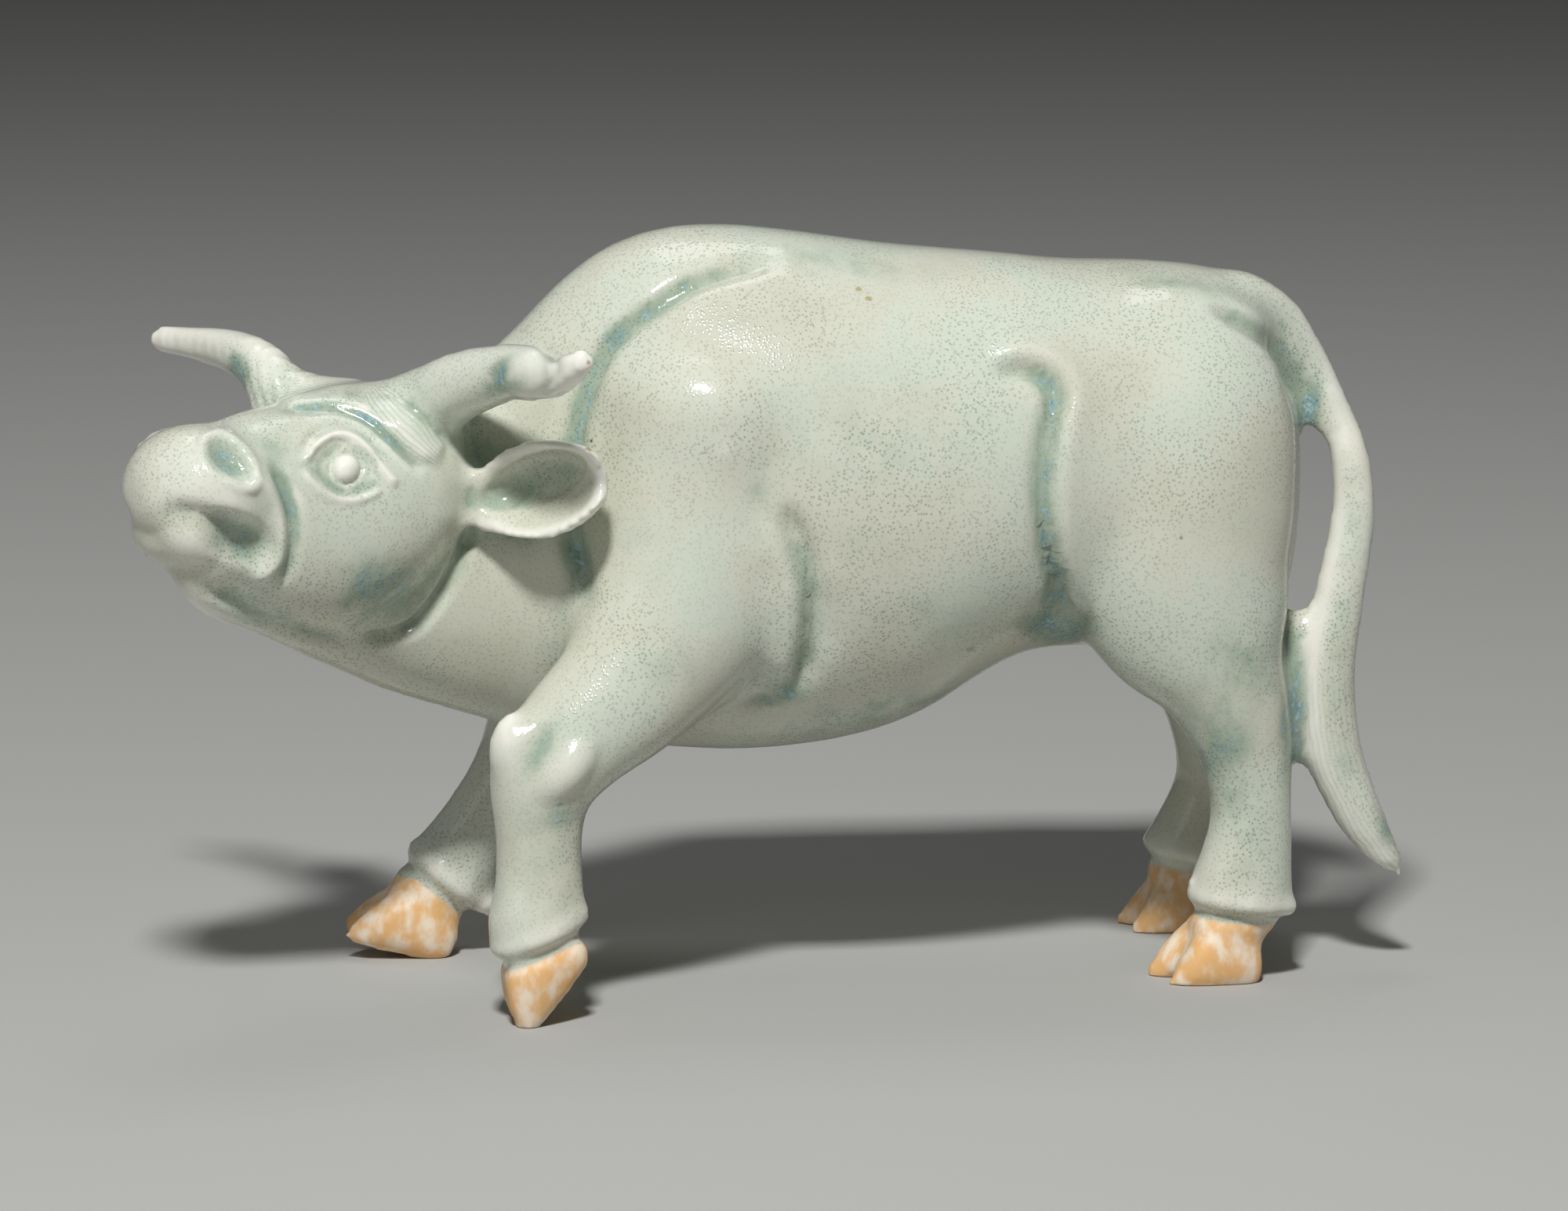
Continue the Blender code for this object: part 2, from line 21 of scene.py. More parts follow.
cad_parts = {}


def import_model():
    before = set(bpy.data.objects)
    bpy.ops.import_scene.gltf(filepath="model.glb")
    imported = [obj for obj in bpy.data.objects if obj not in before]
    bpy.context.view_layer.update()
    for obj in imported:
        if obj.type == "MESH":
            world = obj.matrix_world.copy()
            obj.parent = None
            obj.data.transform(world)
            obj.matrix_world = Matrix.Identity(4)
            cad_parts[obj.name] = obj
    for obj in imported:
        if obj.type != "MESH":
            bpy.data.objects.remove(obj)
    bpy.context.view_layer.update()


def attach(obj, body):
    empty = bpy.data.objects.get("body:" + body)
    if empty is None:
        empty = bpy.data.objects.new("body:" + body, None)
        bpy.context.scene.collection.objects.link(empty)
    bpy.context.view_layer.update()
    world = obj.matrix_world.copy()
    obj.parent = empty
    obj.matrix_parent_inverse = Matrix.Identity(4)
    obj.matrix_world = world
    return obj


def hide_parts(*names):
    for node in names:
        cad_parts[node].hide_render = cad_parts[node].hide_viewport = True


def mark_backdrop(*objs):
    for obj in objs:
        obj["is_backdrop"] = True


log = logging.getLogger("buffalo")

MM = 0.001
SHIFT = Vector((3.254, 8.529, 0.0))  # from the layout to the middle of the footprint
MIDLINE = -2.5  # y of the trunk's middle plane
SHEET_STEP = 0.0923  # millimetres on the drawing sheet at the beast's middle
SHEET_MIDDLE = (1000.0, 772.0)
TAIL_FROM = 59.5  # x behind which all is tail
FEET_BELOW = 12.0  # z that hooves and fetlocks stay under
GRAZING = 0.25  # share of facing the viewer at which a carving is at full strength

Path = tuple[tuple[float, float], ...]
Rows = tuple[tuple[float, ...], ...]
Flaw = tuple[Vector, float, str]  # place in metres, radius in millimetres and colour


class Side(Enum):
    """Flank that a carving is on. The far one is laid out as its mirror image."""

    NEAR = "near"
    FAR = "far"


class Zone(Enum):
    """Part of the beast that a carving stays on."""

    TRUNK = "trunk"
    HEAD = "head"
    SLIM = "horns and ears"
    ANY = "any"


def linear(code: str) -> tuple[float, float, float, float]:
    """Turn an sRGB hex colour into a linear one.

    Args:
        code: Six hex digits.

    Returns:
        Linear red, green, blue and full alpha.
    """
    parts = [int(code[i : i + 2], 16) / 255 for i in (0, 2, 4)]
    red, green, blue = (p / 12.92 if p <= 0.04045 else ((p + 0.055) / 1.055) ** 2.4 for p in parts)
    return red, green, blue, 1.0


def smooth_rows(rows: Rows, steps: int = 5) -> np.ndarray:
    """Draw a smooth curve through the rows of a table.

    Args:
        rows: Numbers to pass through.
        steps: Curve points for each row.

    Returns:
        Rows of the curve.
    """
    table = np.array(rows, dtype=float)
    line = np.vstack((2 * table[0] - table[1], table, 2 * table[-1] - table[-2]))
    out = []
    for a, b, c, d in zip(line, line[1:], line[2:], line[3:]):
        for step in range(steps):
            t = step / steps
            bend = 2 * a - 5 * b + 4 * c - d
            twist = 3 * b - a - 3 * c + d
            out.append((2 * b + (c - a) * t + bend * t**2 + twist * t**3) / 2)
    out.append(table[-1])
    return np.array(out)


@dataclass(frozen=True)
class Sheet:
    """Viewer's place and the drawing sheet through the beast's middle, square to the view."""

    turn: float = math.radians(-9.0)
    rise: float = math.radians(9.5)
    distance: float = 750.0
    target: tuple[float, float, float] = (0.0, 0.0, 43.0)

    @property
    def right(self) -> np.ndarray:
        """Direction to the right on the sheet."""
        return np.array((math.cos(self.turn), math.sin(self.turn), 0.0))

    @property
    def up(self) -> np.ndarray:
        """Direction up the sheet."""
        low = math.sin(self.rise)
        return np.array((-math.sin(self.turn) * low, math.cos(self.turn) * low, math.cos(self.rise)))

    @property
    def back(self) -> np.ndarray:
        """Direction from the beast to the viewer."""
        flat = math.cos(self.rise)
        return np.array((math.sin(self.turn) * flat, -math.cos(self.turn) * flat, math.sin(self.rise)))

    def spots(self, places: np.ndarray) -> np.ndarray:
        """Find where places fall on the sheet.

        Args:
            places: Points of the layout.

        Returns:
            Columns to the right and down, in sheet steps.
        """
        off = places - np.array(self.target)
        scale = self.distance / (self.distance - off @ self.back) / SHEET_STEP
        column = SHEET_MIDDLE[0] + (off @ self.right) * scale
        row = SHEET_MIDDLE[1] - (off @ self.up) * scale
        return np.stack((column, row), axis=1)


@dataclass(frozen=True)
class Line:
    """Line on the sheet, for a groove or for glaze that gathered: width in sheet steps.

    The amount is a depth in millimetres or a strength. Both ends fade over a share of the length.
    A bank lifts one side of a groove by that many millimetres, as far as it reaches.
    """

    path: Path
    width: float
    amount: float
    fade: float = 0.0
    bank: float = 0.0
    reach: float = 30.0


@dataclass(frozen=True)
class Oval:
    """Oval on the sheet, for a dish or a pool of glaze: radii in sheet steps, lean in degrees.

    The amount is a depth in millimetres or a strength, and a dish is flatter in the middle where
    flat is small.
    """

    middle: tuple[float, float]
    radii: tuple[float, float]
    amount: float
    lean: float = 0.0
    flat: float = 1.0

    def gap(self, spots: np.ndarray) -> np.ndarray:
        """Measure spots against the oval.

        Args:
            spots: Points on the sheet.

        Returns:
            Gap from the middle, one at the rim.
        """
        off = spots - np.array(self.middle)
        angle = math.radians(self.lean)
        along = off @ np.array((math.cos(angle), math.sin(angle)))
        across = off @ np.array((-math.sin(angle), math.cos(angle)))
        return np.hypot(along / self.radii[0], across / self.radii[1])


def ramp(values: Any, start: float, span: float) -> Any:
    """Rise from zero at the start to one a span further on, or fall where the span is below zero."""
    return np.clip((values - start) / span, 0.0, 1.0)


def bell(gap: np.ndarray, width: float) -> np.ndarray:
    """Fall off smoothly from one, with the gap from a line."""
    return np.exp(-((gap / width) ** 2))


def ends(along: np.ndarray, fade: float) -> np.ndarray:
    """Fade out over a share of a line's length at both of its ends."""
    return ramp(np.minimum(along, 1.0 - along), 0.0, fade) if fade else np.ones(len(along))


def trace(spots: np.ndarray, path: Path) -> tuple[np.ndarray, np.ndarray, np.ndarray]:
    """Measure spots against a smooth line.

    Args:
        spots: Points on the sheet.
        path: Points that the line passes through.

    Returns:
        Gap from the line, share of the way along it, and the side that each spot is on.
    """
    line = smooth_rows(path, 6)
    best = np.full(len(spots), np.inf)
    along = np.zeros(len(spots))
    side = np.ones(len(spots))
    for i, (start, end) in enumerate(zip(line, line[1:])):
        run = end - start
        share = np.clip((spots - start) @ run / (run @ run), 0.0, 1.0)
        off = spots - start - share[:, None] * run
        gap = np.linalg.norm(off, axis=1)
        closer = gap < best
        best = np.where(closer, gap, best)
        along = np.where(closer, (i + share) / (len(line) - 1), along)
        side = np.where(closer, np.sign(run[0] * off[:, 1] - run[1] * off[:, 0]), side)
    return best, along, side


@dataclass
class Clay:
    """Lumps of clay that are joined into one skin."""

    sides: int = 64
    form: bmesh.types.BMesh = field(default_factory=bmesh.new)

    def loft(self, rings: list[list[Vector]]) -> None:
        """Draw a closed bar through rings of points by pulling its end face along.

        Args:
            rings: Rings of equal count, from end to end.
        """
        bar = bmesh.new()
        bmesh.ops.create_circle(bar, cap_ends=True, segments=len(rings[0]), radius=1.0)
        bar.faces.ensure_lookup_table()
        face = bar.faces[0]
        order = list(range(len(rings[0])))
        for vert, spot in zip(face.verts, order):
            vert.co = rings[0][spot]
        for number, ring in enumerate(rings[1:]):
            tell = {tuple(vert.co): spot for vert, spot in zip(face.verts, order)}
            pulled = bmesh.ops.extrude_face_region(bar, geom=[face])
            if number:
                bmesh.ops.delete(bar, geom=[face], context="FACES_ONLY")
            face = next(item for item in pulled["geom"] if isinstance(item, bmesh.types.BMFace))
            order = [tell[tuple(vert.co)] for vert in face.verts]
            for vert, spot in zip(face.verts, order):
                vert.co = ring[spot]
        mesh = bpy.data.meshes.new("bar")
        bar.to_mesh(mesh)
        bar.free()
        self.form.from_mesh(mesh)
        bpy.data.meshes.remove(mesh)

    def section(
        self, middle: Vector, across: Vector, up: Vector, half_across: float, half_up: float
    ) -> list[Vector]:
        """Lay out an oval section.

        Args:
            middle: Middle of the section.
            across: Direction of its first half width.
            up: Direction of its second.
            half_across: First half width.
            half_up: Second half width.

        Returns:
            Points round the section.
        """
        turns = [2 * math.pi * i / self.sides for i in range(self.sides)]
        return [
            middle + across * (half_across * math.cos(turn)) + up * (half_up * math.sin(turn))
            for turn in turns
        ]

    def limb(
        self,
        rows: Rows,
        across: tuple[float, float, float] = (0.0, 1.0, 0.0),
        upright: bool = False,
        place: Matrix = Matrix(),
        dome: float = 1.0,
    ) -> None:
        """Add a round-ended limb.

        Args:
            rows: x, y, z, half width across and half width the other way.
            across: Direction that the first half width lies in.
            upright: Whether sections stay upright.
            place: Axes that the rows are in.
            dome: How round the ends are.
        """
        line = smooth_rows(rows)
        middles = [Vector(row[:3]) for row in line]
        rings = []
        for i, row in enumerate(line):
            along = middles[min(i + 1, len(line) - 1)] - middles[max(i - 1, 0)]
            if upright:
                along.z = 0.0
            along.normalize()
            side = Vector((0, 0, 1)).cross(along) if upright else Vector(across)
            side = (side - along * side.dot(along)).normalized()
            up = along.cross(side)
            steps = [(Vector(), 1.0)]
            if i in (0, len(line) - 1):
                out = -1 if i == 0 else 1
                bulge = min(row[3], row[4]) * out * dome
                leans = (0.4, 0.8, 1.1, 1.4)
                tip = [(along * (bulge * math.sin(lean)), math.cos(lean)) for lean in leans]
                steps = tip[::-1] + steps if i == 0 else steps + tip
            for shift, share in steps:
                rings.append(self.section(middles[i] + shift, side, up, row[3] * share, row[4] * share))
        self.loft([[place @ point for point in ring] for ring in rings])

    def ball(
        self, middle: tuple[float, ...], radii: tuple[float, ...], place: Matrix = Matrix()
    ) -> None:
        """Add an oval lump.

        Args:
            middle: Middle of the lump.
            radii: Half sizes.
            place: Axes that both are in.
        """
        shape = place @ Matrix.Translation(middle) @ Matrix.Diagonal((*radii, 1.0))
        bmesh.ops.create_icosphere(self.form, subdivisions=4, radius=1.0, matrix=shape)


@dataclass
class Trunk:
    """Neck and trunk from rump to chin: x, y, top line, under line, half width."""

    rows: Rows = (
        (57.4, -2.5, 76, 40, 11), (55, -2.5, 80.2, 38.9, 16), (50, -2.5, 82.6, 39.5, 19),
        (42, -2.5, 83.5, 38, 21), (33, -2.5, 83.8, 38, 21.8), (27.5, -2.5, 84.4, 37.4, 22.3),
        (22, -2.5, 85, 34.8, 22.8), (16.5, -2.5, 85.5, 31.3, 23.2), (11, -2.5, 86.1, 29, 23.4),
        (5, -2.5, 87, 27.6, 23.4), (-1, -2.5, 87.9, 26.9, 23), (-7, -2.5, 88.5, 26.7, 21.8),
        (-12, -2.6, 88.5, 27, 20.4), (-17, -2.6, 87.7, 27.4, 18.8), (-22.5, -2.7, 85.3, 28, 16.4),
        (-28, -2.9, 80.9, 29, 14.2), (-34, -3.2, 74.8, 30.4, 12), (-42, -5.6, 68.5, 33.2, 9.8),
        (-48, -9, 65, 35.7, 8), (-54.2, -13.2, 61, 39.1, 6.2), (-60, -17.6, 58, 42.3, 4.8),
        (-65.3, -21.6, 56, 45.2, 3.7), (-69.6, -25.2, 56, 47.5, 2.9), (-72.2, -27.4, 57, 50.3, 2.3),
    )
    wall: float = 4.0
    chamber: tuple[int, int] = (2, 18)

    def oval_rows(self, inset: float = 0.0) -> Rows:
        """Give the rows as limb rows, drawn in by an inset."""
        return tuple(
            (x, y, (top + low) / 2, half - inset, (top - low) / 2 - inset)
            for x, y, top, low, half in self.rows
        )

    def add(self, clay: Clay) -> None:
        """Add the trunk to the clay."""
        clay.limb(self.oval_rows(), upright=True, dome=0.3)

    def add_chamber(self, clay: Clay) -> None:
        """Add the water chamber to a clay of its own."""
        first, last = self.chamber
        clay.limb(self.oval_rows(self.wall)[first : last + 1], upright=True, dome=0.3)


@dataclass
class Leg:
    """One leg with its hoof, dewclaws and knee bumps."""

    rows: Rows
    hoof: tuple[float, float, float, float]
    fetlock: tuple[tuple[float, float, float], tuple[float, float, float]]
    dewclaws: Rows
    knees: tuple[tuple[tuple[float, ...], tuple[float, ...]], ...] = ()
    claw: Rows = (
        (-4.7, 6.2, 2.1), (-2.8, 8.2, 2.5), (0, 8.4, 2.6), (2.6, 6.8, 2.4), (4.6, 4.6, 1.9),
        (5.6, 3, 1.2),
    )
    spread: float = 2.55
    near_toe: float = 1.0

    def stand(self) -> Matrix:
        """Axes of the hoof, its toe towards -X."""
        x, y, z, toe_down = self.hoof
        return Matrix.Translation((x, y, z)) @ Matrix.Rotation(-math.radians(toe_down), 4, "Y")

    def above_fetlock(self, places: np.ndarray) -> tuple[np.ndarray, np.ndarray]:
        """Measure places along the leg from its fetlock and out from the leg's axis there."""
        middle, normal = self.fetlock
        axis = np.array(Vector(normal).normalized())
        off = places - np.array(middle)
        high = off @ axis
        return high, np.linalg.norm(off - high[:, None] * axis, axis=1)

    def add(self, clay: Clay) -> None:
        """Add the leg to the clay."""
        clay.limb(self.rows)
        for side, toe in ((-1, self.near_toe), (1, 1.0)):
            claw = tuple(
                (-t * (toe if t > 0 else 1.0), side * self.spread, high / 2, half, high / 2)
                for t, high, half in self.claw
            )
            clay.limb(claw, upright=True, place=self.stand())
        for spot in self.dewclaws:
            clay.ball(spot, (1.7, 1.5, 1.9))
        for middle, radii in self.knees:
            clay.ball(middle, radii)


def four_legs() -> tuple[Leg, ...]:
    """Lay out the four legs."""
    return (
        Leg(  # near fore
            (
                (-9, -5, 75, 10.5, 13.5), (-10.2, -6.5, 68, 17.6, 16.4),
                (-12.4, -9.5, 57, 16.8, 14.4), (-14.8, -15.2, 46.5, 12.2, 12.4),
                (-21, -20.2, 38, 8, 8.8), (-27.5, -22.5, 32.6, 6.8, 7.2),
                (-31.5, -23.6, 27.8, 6.2, 6.4), (-32.1, -24, 21.8, 4.9, 5.1),
                (-32.1, -24.5, 15.8, 4.9, 5.1), (-32.6, -25, 11.3, 5.5, 5.6),
                (-32.4, -25, 7.6, 4.4, 4.6),
            ),
            (-29.7, -25, 2.9, 52), ((-32.5, -25, 9.5), (-0.4, 0, 1)),
            ((-28.2, -26.6, 13), (-28.2, -23.2, 13)),
            (((-35.5, -25.4, 31.6), (2.6, 3, 4.6)),),
        ),
        Leg(  # far fore
            (
                (-9, 0, 75, 10.5, 13.5), (-10.2, 1.5, 68, 17.6, 16.4), (-12.4, 4.5, 57, 16.8, 14.4),
                (-15.2, 10, 46.5, 12, 12.4), (-20.8, 13.4, 38, 7.8, 8.6),
                (-25.2, 13.4, 32.4, 6.6, 6.8), (-28.4, 13, 26.6, 5.5, 5.6),
                (-31.6, 12.6, 20.4, 4.8, 4.9), (-35.6, 12.5, 14.4, 4.7, 4.9),
                (-38.6, 12.5, 9.8, 5.2, 5.6), (-41.6, 12.5, 6.8, 4.3, 4.4),
            ),
            (-45.2, 12.5, 0.3, -15), ((-39.6, 12.5, 8.8), (0.66, 0, 0.75)),
            ((-34.4, 10.8, 6.6), (-34.4, 14.2, 6.6)),
            (((-31.6, 11.6, 28.6), (2.4, 3, 3.2)),),
        ),
        Leg(  # near hind
            (
                (44, -10, 74, 8, 12.5), (43.6, -13, 66, 10.4, 14.6), (43.2, -14, 57, 10.8, 15),
                (44.2, -14.6, 48, 10.2, 13.6), (47, -15.2, 40.5, 8.8, 11.2),
                (49.3, -15.6, 35.5, 7.5, 7.7), (51.1, -15.8, 31, 6.5, 6.5),
                (52.3, -15.9, 26, 5.4, 5.4), (52.9, -16, 19.5, 4.8, 4.9), (52.4, -16, 14.3, 5, 5.6),
                (51.5, -16, 10, 5.4, 6.2), (50.4, -16, 7.2, 4.6, 4.9),
            ),
            (47.5, -15.6, -1.3, 0), ((51.4, -16, 8.6), (0.12, 0, 1)),
            ((56.4, -17.8, 8.8), (56.4, -14.2, 8.8)),
            near_toe=0.68,
        ),
        Leg(  # far hind
            (
                (44, 5, 74, 8, 12.5), (43.6, 8, 66, 10.4, 14.6), (43.4, 9, 57, 10.8, 15),
                (45.2, 9.8, 48, 10.2, 13.6), (48.4, 10.6, 40.5, 8.8, 10.6),
                (51.4, 11.4, 35, 7.4, 8), (53.8, 12, 30, 6.2, 6.4), (54.9, 12.4, 24.5, 5.3, 5.4),
                (55.2, 12.6, 18.5, 4.8, 4.9), (53.6, 12.8, 13, 5, 5.4), (52.4, 13, 9.6, 5.4, 6),
                (51.6, 13, 7, 4.6, 4.9),
            ),
            (50.2, 13, -1.3, 0), ((52.8, 13, 8.4), (0.2, 0, 1)),
            ((58.2, 11.2, 8.8), (58.2, 14.8, 8.8)),
            near_toe=0.9,
        ),
    )


@dataclass
class Tail:
    """Tail from rump to tip, with the webs that tie it to rump and hock."""

    rows: Rows = (
        (53.5, -2.5, 79.6, 5, 2.9), (58, -2.5, 77.2, 3.8, 2.7), (61.2, -2.8, 73.4, 2.7, 2.2),
        (63.4, -3.3, 69.6, 2.3, 2), (65.3, -4.4, 64.8, 2.2, 2.1), (66.6, -6, 60.2, 2.3, 2.4),
        (66.6, -8, 53.2, 2.5, 2.7), (64.4, -10.5, 43.8, 2.7, 3.1), (62.7, -12, 34.5, 2.8, 3.4),
        (63.5, -12.5, 26.2, 2.8, 3.5), (65.3, -12.5, 21.4, 2.7, 3.2), (67.4, -12.5, 17.2, 2.3, 2.8),
        (69.6, -12.5, 14, 1.8, 2.1), (72, -12.5, 11.2, 0.8, 0.9),
    )
    upper_web: Rows = (
        (58.4, -2.5, 76, 3, 2.4), (59.6, -2.8, 73, 2.6, 2.6), (61.8, -3.4, 67.8, 1.4, 2.2),
        (63.6, -4.4, 63.8, 1.2, 1.3),
    )
    lower_web: Rows = (
        (58.9, -10.8, 41.8, 1.3, 1.7), (58.9, -11.6, 39, 1.6, 2.2), (58.7, -12.2, 35, 1.8, 2.4),
        (58.7, -13, 29.5, 1.9, 2.4), (59.5, -12.8, 25.8, 1.5, 1.6),
    )

    def add(self, clay: Clay) -> None:
        """Add the tail and its webs to the clay."""
        for rows in (self.rows, self.upper_web, self.lower_web):
            clay.limb(rows)


@dataclass
class Head:
    """Head in its own axes: forward to the muzzle, to its left, up."""

    at: tuple[float, float, float] = (-47.0, -8.6, 57.7)
    turn: float = 34.0
    lift: float = 9.7
    roll: float = 4.9
    skull: Rows = (
        (-6, 8, -5, 7.6), (-2, 12.2, -8.5, 10.8), (3, 13.6, -12.6, 12.4), (8.5, 13, -15, 12.4),
        (13.5, 11.4, -15.6, 11.4), (18, 10, -14.8, 10.2), (22, 9, -13.4, 9.2), (26, 7.4, -11, 7.6),
    )
    balls: tuple[tuple[tuple[float, ...], tuple[float, ...]], ...] = (
        ((28.2, 0, -0.8), (8.8, 9.4, 8)), ((26, 0, -7.2), (6.2, 6.4, 4.4)),
        ((30.2, 0, -6), (2.4, 4.4, 2)),
    )
    near_horn: Rows = (
        (1.6, 3, 10, 4.6), (1.3, 7.5, 11.6, 4.5), (1.5, 14.1, 13.8, 3.9), (1.7, 21, 15, 3.3),
        (2.2, 25.4, 14.9, 3.2), (2.6, 28.2, 14.5, 2.8), (3, 30.4, 14.4, 2.3),
        (3.5, 32.8, 15.1, 2.1), (3.9, 35.6, 16.1, 1.6),
    )
    far_horn: Rows = (
        (3, -4, 10, 4.2), (6.5, -8.5, 10.4, 4), (8.6, -11.4, 12, 3.6), (9.1, -14.2, 14.8, 3.1),
        (8.8, -20.5, 16.7, 2.6), (8.9, -27, 17.4, 2.1), (9.3, -32.8, 17.8, 1.7),
    )
    ear_root: tuple[float, float, float] = (-2.1, 9.6, 0.0)
    ear_tip: tuple[float, float, float] = (-6.8, 28.8, 4.1)
    ear_faces: tuple[float, float, float] = (0.93, 0.34, -0.1)
    ear_shell: float = 2.2
    ear_from: float = 0.18
    ear_reach: float = 8.2
    horn_above: float = 10.0
    horn_beside: float = 8.5
    ear: Rows = (
        (0, 3.3, 3.2), (0.14, 3.8, 3.5), (0.3, 5.2, 4.4), (0.5, 5.9, 4.8), (0.7, 5.5, 4.5),
        (0.86, 4.3, 3.6), (0.95, 3, 2.9),
    )

    def axes(self) -> Matrix:
        """Axes of the turned, lifted and rolled head."""
        turn = Matrix.Rotation(math.pi + math.radians(self.turn), 4, "Z")
        lift = Matrix.Rotation(-math.radians(self.lift), 4, "Y")
        roll = Matrix.Rotation(math.radians(self.roll), 4, "X")
        return Matrix.Translation(self.at) @ turn @ lift @ roll

    def local(self, places: np.ndarray) -> np.ndarray:
        """Give places in the head's axes."""
        into = np.array(self.axes().inverted())
        return places @ into[:3, :3].T + into[:3, 3]

    def add(self, clay: Clay) -> None:
        """Add skull, muzzle, horns and ears to the clay."""
        head = self.axes()
        rows = tuple(
            (f, 0.0, (top + low) / 2, half, (top - low) / 2) for f, top, low, half in self.skull
        )
        clay.limb(rows, upright=True, place=head)
        for middle, radii in self.balls:
            clay.ball(middle, radii, head)
        for horn in (self.near_horn, self.far_horn):
            clay.limb(tuple((f, s, h, r, r) for f, s, h, r in horn), across=(1, 0, 0), place=head)
        for side in (1, -1):
            self.add_ear(clay, head @ Matrix.Diagonal((1, side, 1, 1)))

    def add_ear(self, clay: Clay, place: Matrix) -> None:
        """Add a cupped ear on a short stalk, open towards the muzzle.

        Args:
            clay: Clay to add it to.
            place: Axes of the head, or their mirror image.
        """
        root = Vector(self.ear_root)
        along = Vector(self.ear_tip) - root
        length = along.length
        along.normalize()
        faces = Vector(self.ear_faces)
        face = (faces - along * faces.dot(along)).normalized()
        wide = along.cross(face)
        turns = [math.pi * i / (clay.sides // 2 - 1) for i in range(clay.sides // 2)]
        rings = []
        for share, half, depth in smooth_rows(self.ear):
            middle = root + along * (share * length)
            hollow = ramp(share, 0.1, 0.16) * (depth - self.ear_shell)
            inner = half - 0.55 * self.ear_shell
            ring = [middle + wide * (half * math.cos(a)) - face * (depth * math.sin(a)) for a in turns]
            ring += [
                middle + wide * (inner * math.cos(a)) + face * (0.5 - (0.5 + hollow) * math.sin(a))
                for a in reversed(turns)
            ]
            rings.append([place @ point for point in ring])
        clay.loft(rings)


